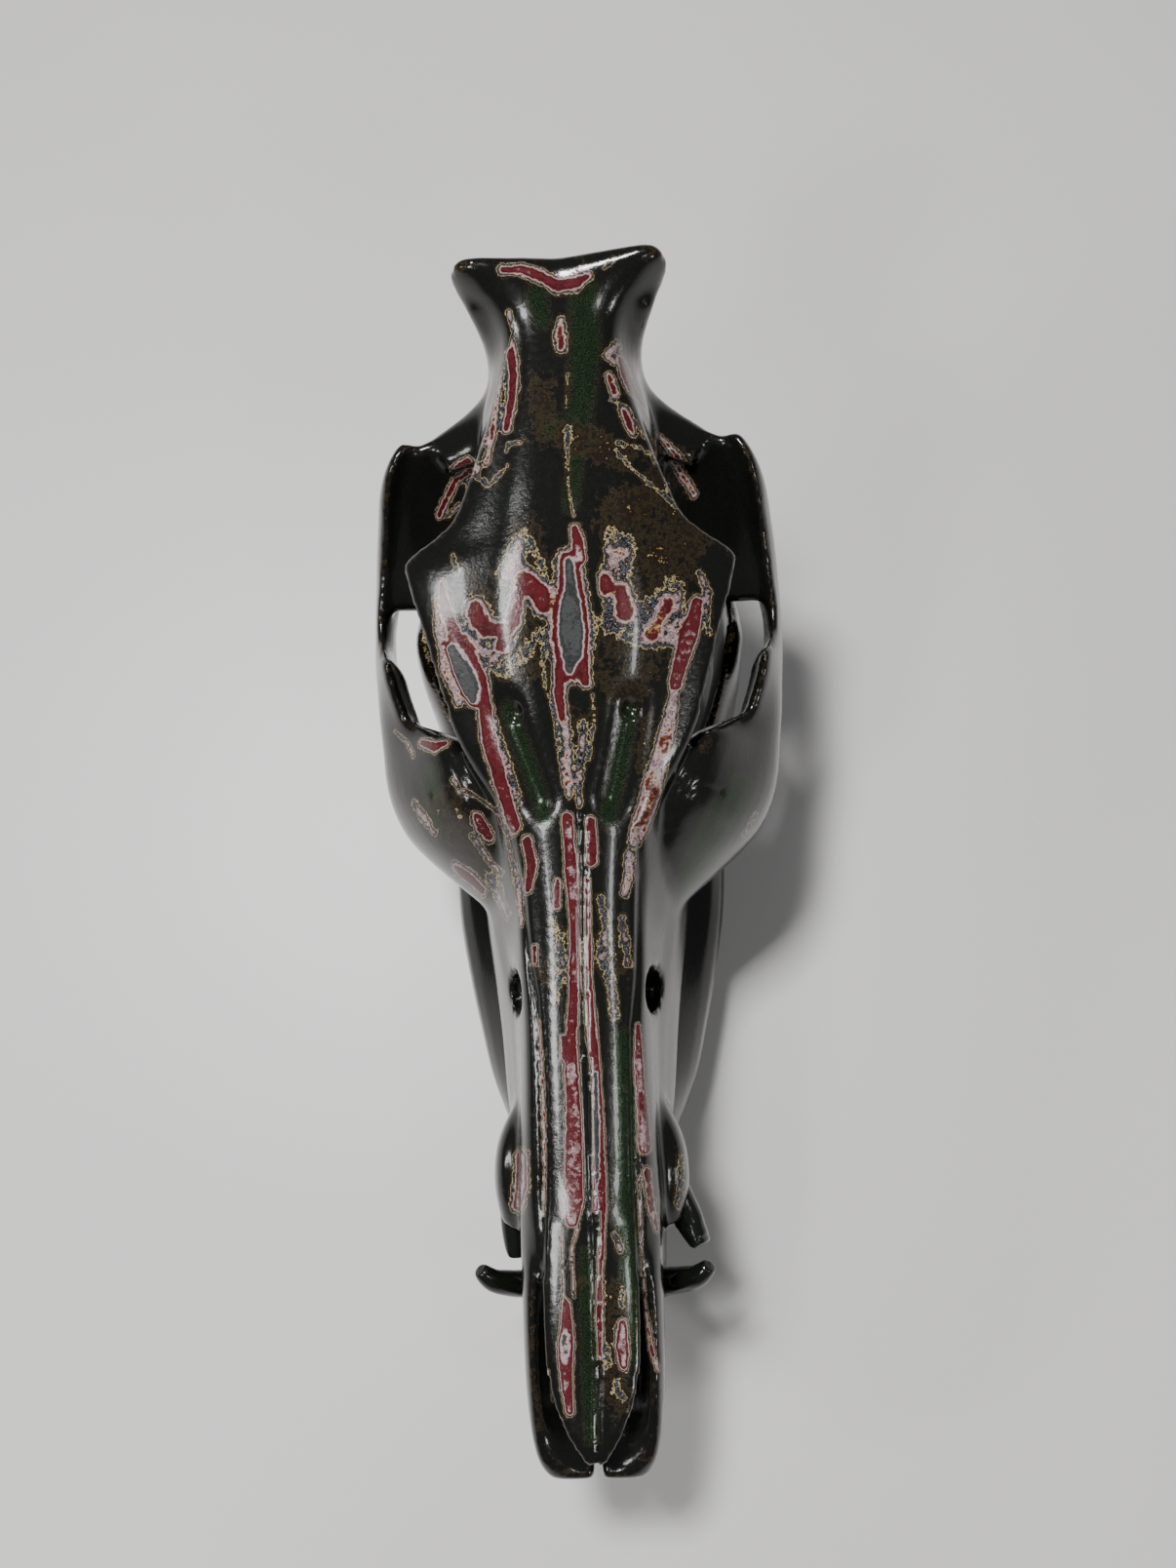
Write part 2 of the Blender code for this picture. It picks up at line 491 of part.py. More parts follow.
def main():
    clear_scene()
    cranium = make_cranium_forms()
    jaw = make_jaw_forms()
    wrap(cranium)
    cut(cranium, make_openings(), crossing=True)
    wrap(cranium)
    smooth_and_thin(cranium, CRANIUM_SHARE)
    cut(cranium, make_teeth(upper=True), crossing=True)
    wrap(jaw)
    smooth_and_thin(jaw, JAW_SHARE)
    cut(jaw, make_teeth(upper=False))
    stand_on_origin()


main()
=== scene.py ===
"""A pig's skull with its lower jaw and teeth, coated all over in rubbed marbled lacquer."""

import math

import bmesh
import bpy
import numpy as np
from mathutils import Matrix, Vector


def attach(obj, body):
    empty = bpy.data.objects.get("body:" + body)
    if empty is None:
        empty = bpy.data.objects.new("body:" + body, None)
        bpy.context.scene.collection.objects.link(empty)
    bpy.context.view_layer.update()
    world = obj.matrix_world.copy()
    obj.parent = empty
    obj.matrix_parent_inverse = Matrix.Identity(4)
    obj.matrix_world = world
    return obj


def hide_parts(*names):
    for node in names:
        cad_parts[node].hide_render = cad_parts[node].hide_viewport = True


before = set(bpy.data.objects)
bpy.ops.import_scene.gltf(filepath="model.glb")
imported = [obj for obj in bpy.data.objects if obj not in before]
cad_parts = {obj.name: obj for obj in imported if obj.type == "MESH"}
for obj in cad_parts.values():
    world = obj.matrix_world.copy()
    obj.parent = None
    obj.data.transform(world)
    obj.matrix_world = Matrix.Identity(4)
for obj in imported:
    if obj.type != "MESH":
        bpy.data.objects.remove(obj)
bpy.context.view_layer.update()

# The camera looks down on the skull from 0.7 m over the table, leaning by twelve degrees towards the back of the
# head. Its place and all sizes of the skull are in millimetres, its focal length in the picture's own pixels.
MM = 0.001
CAMERA_PLACE = (22.0, -85.1, 707.6)
CAMERA_LEAN = (11.8, 1.9, -1.2)
PICTURE_HEIGHT = 1608
FOCAL_PIXELS = 2000
SENSOR_HEIGHT = 36

bpy.ops.object.select_all(action="DESELECT")
bpy.ops.object.camera_add()
camera = bpy.context.object
camera.name = "camera"
camera.data.sensor_fit = "VERTICAL"
camera.data.sensor_height = SENSOR_HEIGHT
camera.data.lens = FOCAL_PIXELS / PICTURE_HEIGHT * SENSOR_HEIGHT
camera.data.clip_start = 0.01
camera_turn = Matrix.Rotation(math.radians(CAMERA_LEAN[1]), 4, "Y")
camera_turn = camera_turn @ Matrix.Rotation(math.radians(CAMERA_LEAN[0]), 4, "X")
camera_turn = camera_turn @ Matrix.Rotation(math.radians(CAMERA_LEAN[2]), 4, "Z")
camera.matrix_world = Matrix.Translation(Vector(CAMERA_PLACE) * MM) @ camera_turn
bpy.context.scene.camera = camera


# The cranium is one shell of dry bone: a long snout, a steep forehead, a narrow braincase with a flaring crest, and
# a cheek arch on each side. It is lofted from half outlines, and the forms are then grown together into one skin.
# Each row is its place along Y, then half of its outline as (x, z), from the roof to the palate.
CORE = [
    (-170, (0, 81), (5, 82.5), (9.5, 82.5), (12.5, 81.5), (13.5, 80.5), (13.5, 79), (12.5, 77), (9.5, 75),
     (5, 74.5), (0, 75)),
    (-168, (0, 82.5), (6, 84), (11, 84.3), (14.5, 83), (16, 81), (16, 78.5), (14.5, 75.5), (11, 73.5),
     (5, 73), (0, 73.5)),
    (-163, (0, 81), (7, 83), (14, 87.5), (17.3, 86.5), (18.5, 83), (18.5, 80), (17, 76), (13.5, 73),
     (7, 72), (0, 72.5)),
    (-153, (0, 80), (7, 80.5), (13.5, 87), (17.3, 92), (20, 88), (20.3, 82), (19, 76), (15.5, 72),
     (9, 71), (0, 73)),
    (-138, (0, 83), (7, 83.5), (14, 91), (18, 98), (21, 92), (21.3, 85), (20, 77), (17, 72),
     (11, 71.5), (0, 74)),
    (-124, (0, 89), (7.5, 90), (14.5, 97), (18.3, 102.5), (21.2, 96), (21.5, 88), (20.5, 79), (17.5, 72),
     (12, 71.5), (0, 75)),
    (-110, (0, 97), (8, 100), (15, 104), (18.3, 106), (21.2, 99), (21.6, 90), (21, 80), (18.5, 72),
     (13, 71), (0, 75)),
    (-98, (0, 113.5), (9, 112.5), (16, 109.5), (18.5, 107), (21.2, 101), (22, 91), (21.5, 80), (20, 71.5),
     (14, 70), (0, 75)),
    (-80, (0, 118), (9, 117), (16, 114.3), (18.5, 111.5), (21.2, 104), (22.3, 93), (22.7, 82), (22.5, 70),
     (15.5, 69), (0, 74)),
    (-57, (0, 123.5), (9, 122.7), (15.8, 120), (18, 117), (20.3, 108), (21.5, 97), (24, 85), (26.5, 68),
     (17, 67), (0, 73)),
    (-34, (0, 129), (9, 128.5), (15.5, 125.7), (17.7, 122.5), (20, 113), (22, 101), (25.3, 87), (28.5, 67),
     (17.5, 66), (0, 72)),
    (-18, (0, 133.5), (9, 133), (15.5, 130), (18, 127), (20.7, 117), (23, 104), (27.3, 89), (30, 67),
     (18, 66), (0, 72)),
    (-2, (0, 138.5), (9, 138), (15.7, 135), (18.3, 131), (21.5, 121), (26, 107), (30.3, 91), (31.5, 67),
     (18.5, 66), (0, 72)),
    (14, (0, 144), (9.5, 143.5), (17, 140.5), (20, 135), (24.5, 124), (29, 110), (32.3, 92), (32.5, 68),
     (19, 66.5), (0, 72)),
    (27, (0, 149), (10.5, 148.5), (21.5, 144.5), (24.5, 138.5), (27.5, 127), (30.3, 112), (32.3, 94), (32.5, 68),
     (19.5, 67), (0, 72)),
    (40, (0, 154.5), (14, 154), (30, 148.5), (31, 141), (29, 130), (28.5, 116), (29.5, 98), (31.5, 69),
     (19.5, 68), (0, 73)),
    (52, (0, 160), (16.5, 159.5), (36.5, 151), (33.5, 145), (24, 136), (18.5, 124), (20.5, 104), (26.5, 76),
     (17, 71), (0, 75)),
    (66, (0, 166), (18.5, 165.5), (40.5, 156), (35.5, 150.5), (21, 143), (14.5, 128), (14.5, 108), (18.5, 84),
     (13, 78), (0, 80)),
    (80, (0, 172.5), (20, 171.5), (44.5, 160.5), (38, 155.5), (21, 148), (14.5, 132), (13.5, 112), (14.5, 92),
     (9, 87), (0, 88)),
    (93, (0, 178.2), (20.5, 176.7), (48.3, 163), (40.5, 158), (22.5, 152), (18.5, 138), (17.5, 118), (15.5, 98),
     (10, 93), (0, 93)),
    (98.5, (0, 180.8), (19, 179), (47.3, 164.2), (39.5, 159.5), (24, 153), (21, 140), (20.5, 120), (17.5, 101),
     (11, 95), (0, 94)),
    (105, (0, 183.4), (17, 181.9), (34.5, 172.9), (31, 166), (26, 156), (25, 142), (24, 122), (20, 104),
     (12, 97), (0, 95)),
    (113, (0, 186.5), (15, 185.5), (29.3, 178), (28, 171), (27, 159), (27, 144), (26, 124), (22, 106),
     (12, 98), (0, 95)),
    (127, (0, 192), (12, 191.3), (22, 186.5), (24, 178), (26.5, 166), (27, 150), (26.5, 131), (22, 113),
     (13, 103), (0, 98)),
    (140, (0, 197), (9.5, 196.5), (16.5, 192.7), (20, 185), (24, 172), (25.5, 157), (24.5, 140), (20, 124),
     (13, 114), (0, 109)),
    (149, (0, 200.5), (8.5, 200.2), (14.5, 197), (17.5, 189.5), (20.8, 178), (22.3, 165), (22, 151), (18.5, 138),
     (12.5, 130), (0, 127)),
    (156, (0, 203.5), (8.5, 203.5), (15.5, 201), (18.5, 195), (21.5, 186), (22.5, 176), (22, 165), (18, 155),
     (12, 149), (0, 147)),
    (162.5, (0, 206.5), (10, 207.3), (20.5, 206), (24.5, 201), (26.8, 194), (26, 187), (23.5, 180), (18, 172),
     (11.5, 168), (0, 167)),
    (167, (0, 207), (11, 208.8), (25.5, 210.5), (30, 206), (30.7, 199.5), (29.5, 194), (26, 188.5), (18.5, 183),
     (11, 180), (0, 180)),
    (170, (0, 204.5), (11, 206.8), (24, 209.5), (27.5, 206), (28.3, 201), (27, 197.5), (24, 194), (17.5, 191),
     (10, 190), (0, 190)),
]

# A cheek arch goes round a plate: top edge, outer side above and below, bottom edge, inner side below and above.
CHEEK_ARCH = [
    (-7, (16, 104), (20, 101), (22, 93), (19.5, 87), (14, 90), (13, 100)),
    (4, (20, 112), (27, 106), (31, 94), (28, 84), (18, 86), (16, 104)),
    (13, (24, 121), (35, 112), (41, 96), (38, 82), (26, 84), (19, 110)),
    (21, (28, 131), (43, 119), (50, 99), (47, 80), (34, 84), (24, 116)),
    (28, (30, 139), (47, 124), (56, 101), (53.5, 79), (42, 86), (26, 120)),
    (36, (33, 142), (50.5, 124), (60, 102), (57.5, 78), (48, 85), (27, 118)),
    (44, (36, 142), (52.5, 123), (62, 103), (60, 79), (52, 85), (27, 116)),
    (50, (39, 139), (53.8, 121.5), (62.7, 103), (60.6, 79.5), (53.5, 85.5), (30, 114)),
    (54.5, (44, 131), (55, 120), (63.1, 103.1), (61, 80), (54.5, 86), (41, 111)),
    (59, (52, 125), (57, 119.2), (63.6, 103.3), (61.6, 80.6), (55.4, 86.6), (49, 109)),
    (64, (54.5, 127), (58.6, 120.5), (64.1, 103.6), (62.2, 81.3), (56.4, 87.3), (51, 110)),
    (70, (56.5, 131), (60.3, 123), (64.4, 104), (62.6, 82), (57.5, 88), (53, 112)),
    (76, (57.5, 134), (61, 126), (64.7, 104.5), (63, 83), (58.5, 89), (54.5, 114)),
    (80, (59, 127), (62.2, 121), (64.9, 105), (63.2, 84), (59.5, 90), (57.5, 114)),
    (86, (61, 121), (63.2, 116), (65, 105), (63.3, 86), (60, 91), (59.3, 110)),
    (95, (61.3, 121), (63.4, 116), (64.9, 105), (63.2, 90), (60, 94), (59, 111)),
    (104, (60, 125), (62.8, 118), (64.3, 108), (62, 95), (58, 98), (57.5, 112)),
    (113, (58, 132), (61.6, 125), (63.3, 113), (60, 102), (55, 104), (55, 116)),
    (121, (56.5, 140), (60.3, 132), (61.8, 119), (57, 106), (51, 108), (52.5, 121)),
    (128, (54.5, 146.5), (58.8, 140), (60, 127), (54.5, 111), (48.5, 112), (50, 126)),
    (134, (52, 150.5), (56, 146), (56.8, 135), (51, 119), (45.5, 119), (48, 133)),
    (140, (48.5, 151), (52, 148), (52, 139), (47, 128), (42.5, 128), (45, 139)),
]

# The shelf over the jaw's joint: inner, middle and outer points of its top, then of its underside back again.
SHELF = [
    (97, (19, 118), (38, 116), (57.5, 118), (57.5, 114), (38, 111.5), (19, 112)),
    (102, (18, 125), (38, 121), (58.5, 121), (58.5, 113.5), (38, 110.8), (18, 112)),
    (110, (16, 129), (38, 124), (57.5, 126), (57.5, 114), (38, 111.2), (16, 112)),
    (120, (16, 134), (36, 130), (55, 135), (55, 118), (38, 113.5), (16, 114)),
    (130, (18, 142), (35, 138), (53, 143), (53, 124), (36, 120), (18, 118)),
    (137, (20, 150), (35, 146), (50.5, 148), (50.5, 132), (36, 128), (20, 126)),
    (141, (20, 156), (31, 151), (42, 148), (42, 140), (33, 137), (20, 140)),
]

# Rods laid over the core, as points (x, y, z, half width, half depth), and balls, as centre and half sizes.
SIDE_BONES = {
    "lambdoid_crest": [
        (24, 163, 196, 3.5, 4), (20, 158, 180, 3.5, 5), (19.5, 153, 167, 3.5, 6), (22, 147, 157, 4, 7),
        (29, 141, 150, 4, 8), (39, 137, 145, 3.5, 7),
    ],
    "throat_process": [(20, 132, 120, 6, 7), (25, 132, 104, 5, 6), (26, 129, 86, 3.6, 5), (25, 125, 70, 2.6, 3.4)],
    "pterygoid_wing": [(11, 52, 78, 2.4, 8), (13, 66, 76, 2.4, 8), (14, 76, 75, 2.4, 7), (15.5, 83, 68, 2.2, 3)],
    "tusk_bulge": [(20, -56, 88, 3, 8), (24, -68, 86, 5, 12), (25.3, -80, 83, 5.3, 12), (24.5, -92, 78, 4.4, 8)],
}
NASAL_ROOF = [
    (0, -164, 99.5, 3, 1.8), (0, -157, 100.8, 8, 2.2), (0, -147, 102.2, 12.5, 2.6), (0, -135, 104.4, 15, 2.8),
    (0, -120, 107.4, 15.8, 3), (0, -104, 110.2, 15.8, 3), (0, -88, 112.6, 15.2, 3),
]
ROUND_BONES = {"neck_knuckle": ((11.5, 137, 106), (8.5, 9, 10.5)), "ear_bulb": ((18, 108, 91), (7.5, 9, 15))}

# Openings, as centre, half sizes and the lean about X, then about Z, in degrees.
MIDLINE_OPENINGS = {
    "nose": ((0, -108, 92), (12, 32, 12), (-8, 0)),
    "throat": ((0, 80, 98), (9, 26, 10), (18, 0)),
    "spinal": ((0, 140, 117), (8.5, 16, 8.5), (-25, 0)),
    "snout_cleft": ((0, -168, 84), (1.3, 9, 30), (0, 0)),
}
SIDE_OPENINGS = {
    "under_eye": ((20.8, -23.8, 110), (3.7, 7.2, 15), (0, -8)),
    "brow": ((16.8, 52, 160), (1.7, 3, 5), (-20, 0)),
    "tear_duct_upper": ((38, 57, 148), (1.9, 4.5, 4), (0, 0)),
    "tear_duct_lower": ((44.5, 56.5, 136), (1.9, 5, 3), (0, 0)),
    "palate_slot": ((6, -140, 74), (2.4, 11, 7), (0, 0)),
}
# How much further back the crest's right corner lies than its left, and where, over what length and width.
CREST_SKEW = 2.4
CREST_START = 145
CREST_LENGTH = 25
CREST_WIDTH = 50

# The move from the drawn place to the middle of the table, the grids of the coarse and the fine skin, and the angle
# from which an edge stays sharp.
TO_TABLE = (0, -1.08, 1.57)
ROUGH_GRID = 1.6
SKIN_GRID = 1.15
MOST_TRIANGLES = 190000
SHARP_BONE = 60


def curve_through(points, steps, closed=False):
    """Points on a smooth curve through the given ones, with `steps` of them for each gap."""
    rows = np.array(points, float)
    count = len(rows)
    made = []
    for i in range(count if closed else count - 1):
        if closed:
            a, b, c, d = (rows[(i + k) % count] for k in (-1, 0, 1, 2))
        else:
            a, b, c, d = (rows[min(max(i + k, 0), count - 1)] for k in (-1, 0, 1, 2))
        for step in range(steps):
            t = step / steps
            bend = (2 * a - 5 * b + 4 * c - d) * t * t + (3 * b - a - 3 * c + d) * t ** 3
            made.append(0.5 * (2 * b + (c - a) * t + bend))
    if not closed:
        made.append(rows[-1])
    return made


def loft(bm, rings):
    """Faces between rings of equal length, with both ends closed."""
    layers = [[bm.verts.new(Vector(point)) for point in ring] for ring in rings]
    count = len(layers[0])
    for near, far in zip(layers, layers[1:]):
        for i in range(count):
            j = (i + 1) % count
            bm.faces.new((near[i], near[j], far[j], far[i]))
    bm.faces.new(list(reversed(layers[0])))
    bm.faces.new(layers[-1])


def rings_along(sections, steps):
    """Rings on smooth curves through the sections, with `steps` of them for each gap."""
    rows = curve_through([np.array(ring, float).ravel() for ring in sections], steps)
    return [row.reshape(-1, 3) for row in rows]


def plate_rings(outlines, side):
    """Rings of a lofted plate on the right (side 1) or on the left (side -1)."""
    sections = []
    for y, *outline in outlines:
        outline = curve_through(outline, steps=4, closed=True)
        sections.append([(side * x, y, z) for x, z in outline])
    return rings_along(sections, steps=5)


def rod(bm, path, steps=5, sides=16):
    """A rod along the path's points (x, y, z, half width, half depth)."""
    rows = curve_through(path, steps)
    whole = (Vector(rows[-1][:3]) - Vector(rows[0][:3])).normalized()
    upright = Vector((0, 1, 0)) if abs(whole.y) < 0.9 else Vector((0, 0, 1))
    rings = []
    for i, row in enumerate(rows):
        before = Vector(rows[max(i - 1, 0)][:3])
        after = Vector(rows[min(i + 1, len(rows) - 1)][:3])
        ahead = (after - before).normalized()
        across = ahead.cross(upright).normalized()
        deep = ahead.cross(across)
        ring = []
        for k in range(sides):
            turn = 2 * math.pi * k / sides
            ring.append(Vector(row[:3]) + across * row[3] * math.cos(turn) + deep * row[4] * math.sin(turn))
        rings.append(ring)
    loft(bm, rings)


def mirrored(path, side):
    """A path drawn on the right, as it is for side 1, or on the left for side -1."""
    return [(side * x, *rest) for x, *rest in path]


def ball(bm, centre, radii, lean=(0, 0)):
    """An egg of these half sizes, leaning about X, then about Z, in degrees."""
    turn = Matrix.Rotation(math.radians(lean[1]), 4, "Z") @ Matrix.Rotation(math.radians(lean[0]), 4, "X")
    shape = Matrix.Translation(centre) @ turn @ Matrix.Diagonal((*radii, 1.0))
    bmesh.ops.create_uvsphere(bm, u_segments=24, v_segments=14, radius=1.0, matrix=shape)


def piece_from(bm, name):
    """An object in metres, moved to its place on the table, from a bmesh drawn in millimetres."""
    for vert in bm.verts:
        vert.co = (vert.co + Vector(TO_TABLE)) * MM
    bmesh.ops.recalc_face_normals(bm, faces=bm.faces)
    mesh = bpy.data.meshes.new(name)
    bm.to_mesh(mesh)
    bm.free()
    made = bpy.data.objects.new(name, mesh)
    bpy.context.scene.collection.objects.link(made)
    return made


def select_only(piece):
    """Makes one piece the selected and active one."""
    bpy.ops.object.select_all(action="DESELECT")
    piece.select_set(True)
    bpy.context.view_layer.objects.active = piece


def apply_all(piece):
    """Turns all modifiers of a piece into its mesh."""
    select_only(piece)
    for modifier in list(piece.modifiers):
        bpy.ops.object.modifier_apply(modifier=modifier.name)


def grow_skin(piece, grid):
    """Grows all overlapping forms of a piece together into one closed skin."""
    skin = piece.modifiers.new("skin", "REMESH")
    skin.mode = "VOXEL"
    skin.voxel_size = grid * MM


def carve(piece, balls):
    """Cuts leaning balls out of a piece, each given as its centre, half sizes and lean."""
    bm = bmesh.new()
    for centre, radii, lean in balls:
        ball(bm, centre, radii, lean)
    cutter = piece_from(bm, "cutter")
    hole = piece.modifiers.new("hole", "BOOLEAN")
    hole.operation = "DIFFERENCE"
    hole.solver = "EXACT"
    hole.use_self = True
    hole.object = cutter
    apply_all(piece)
    bpy.data.objects.remove(cutter, do_unlink=True)


def smooth_skin(piece, times):
    """Evens out the steps that the grid leaves in a skin."""
    smooth = piece.modifiers.new("smooth", "SMOOTH")
    smooth.factor = 0.5
    smooth.iterations = times


def thin_to(piece, most, group=""):
    """Thins a mesh to at most that many triangles, only inside the vertex group where one is named."""
    count = sum(len(face.vertices) - 2 for face in piece.data.polygons)
    if count > most:
        thin = piece.modifiers.new("thin", "DECIMATE")
        thin.ratio = most / count
        thin.vertex_group = group
    apply_all(piece)


def shade_smooth(piece, sharp):
    """Shades a piece smoothly, but for edges sharper than this many degrees."""
    select_only(piece)
    bpy.ops.object.shade_smooth_by_angle(angle=math.radians(sharp))


bm = bmesh.new()
sections = []
for y, *half in CORE:
    half = curve_through(half, steps=3)
    outline = [(x, y, z) for x, z in half] + [(-x, y, z) for x, z in reversed(half[1:-1])]
    skew = CREST_SKEW * max(0, (y - CREST_START) / CREST_LENGTH) ** 2
    sections.append([(x, y + skew * min(max(x / CREST_WIDTH + 0.5, 0), 1), z) for x, y, z in outline])
loft(bm, rings_along(sections, steps=4))
rod(bm, NASAL_ROOF, sides=20)
for side in (1, -1):
    loft(bm, plate_rings(CHEEK_ARCH, side))
    loft(bm, plate_rings(SHELF, side))
    for path in SIDE_BONES.values():
        rod(bm, mirrored(path, side))
    for (x, y, z), radii in ROUND_BONES.values():
        ball(bm, (side * x, y, z), radii)
skull = piece_from(bm, "skull")
grow_skin(skull, ROUGH_GRID)
smooth_skin(skull, times=2)
apply_all(skull)
holes = list(MIDLINE_OPENINGS.values())
for (x, y, z), radii, (lean_x, lean_z) in SIDE_OPENINGS.values():
    holes += [((side * x, y, z), radii, (lean_x, side * lean_z)) for side in (1, -1)]
carve(skull, holes)
grow_skin(skull, SKIN_GRID)
smooth_skin(skull, times=5)
apply_all(skull)


def vertex_table(piece):
    """Places in millimetres as drawn, normals, and both ends of each edge."""
    mesh = piece.data
    count = len(mesh.vertices)
    places = np.empty(count * 3, np.float64)
    mesh.vertices.foreach_get("co", places)
    normals = np.empty(count * 3, np.float64)
    mesh.vertices.foreach_get("normal", normals)
    ends = np.empty(len(mesh.edges) * 2, np.int64)
    mesh.edges.foreach_get("vertices", ends)
    places = places.reshape(-1, 3) / MM - np.array(TO_TABLE)
    return places, normals.reshape(-1, 3), ends.reshape(-1, 2)


def set_places(piece, places):
    """Moves a piece's vertices to these places, in millimetres as drawn."""
    moved = (places + np.array(TO_TABLE)) * MM
    piece.data.vertices.foreach_set("co", moved.ravel())
    piece.data.update()


def reach(places, path):
    """How far each place lies from a path of (x, y) points, in the plane seen from above."""
    near = np.full(len(places), np.inf)
    flat = places[:, :2]
    points = np.array(path, float)
    for a, b in zip(points, points[1:]):
        line = b - a
        t = np.clip(((flat - a) @ line) / (line @ line), 0, 1)
        near = np.minimum(near, np.hypot(*(flat - a - t[:, None] * line).T))
    return near


# The grooves and seams that are worked into the roof: path as (x, y) points, half width and depth.
GROOVES = {
    "brow_left": ([(-19.6, 53), (-16.6, 44), (-12.8, 33.4), (-10.8, 28)], 4.2, 1.7),
    "brow_right": ([(16.6, 52.5), (14.5, 43.2), (11.9, 32.7), (10.4, 28)], 4.2, 1.7),
    "nasal_slit": ([(1.7, 24.5), (1.2, 5), (0.4, -21.6), (0.5, -50), (1, -72), (1.4, -106), (1.6, -134), (0.7, -153),
        (0.6, -168)], 0.75, 1.1),
    "nasal_side_left": ([(-20.6, 21), (-19.6, 12), (-17.5, 2), (-16.3, -14), (-14.2, -28), (-13.5, -48),
        (-13.2, -76), (-15, -108)], 1, 1.1),
    "nasal_side_right": ([(18.3, 19.5), (18.4, 8), (17.8, -1), (16.6, -23), (14.8, -37), (14.2, -77),
        (15, -108)], 1, 1.1),
    "roof_seam": ([(1.1, 129), (0.7, 116), (1, 109), (2.2, 103)], 0.7, 0.3),
    "cheek_seam_right": ([(28.1, 23.5), (31.1, 29.8), (36, 33), (42.9, 32.3)], 0.8, 0.4),
    "cheek_seam_left": ([(-27, 24), (-31, 30), (-37, 35), (-44, 34)], 0.8, 0.4),
}


def work_groove(places, normals, path, half_width, depth):
    """Presses a groove into what faces up, deepest along the path."""
    away = reach(places, path)
    upward = np.clip(normals[:, 2] * 3 - 0.3, 0, 1)
    sink = depth * np.exp(-(away / half_width) ** 2) * upward
    places -= normals * sink[:, None]


places, normals, ends = vertex_table(skull)
for path, half_width, depth in GROOVES.values():
    work_groove(places, normals, path, half_width, depth)
set_places(skull, places)

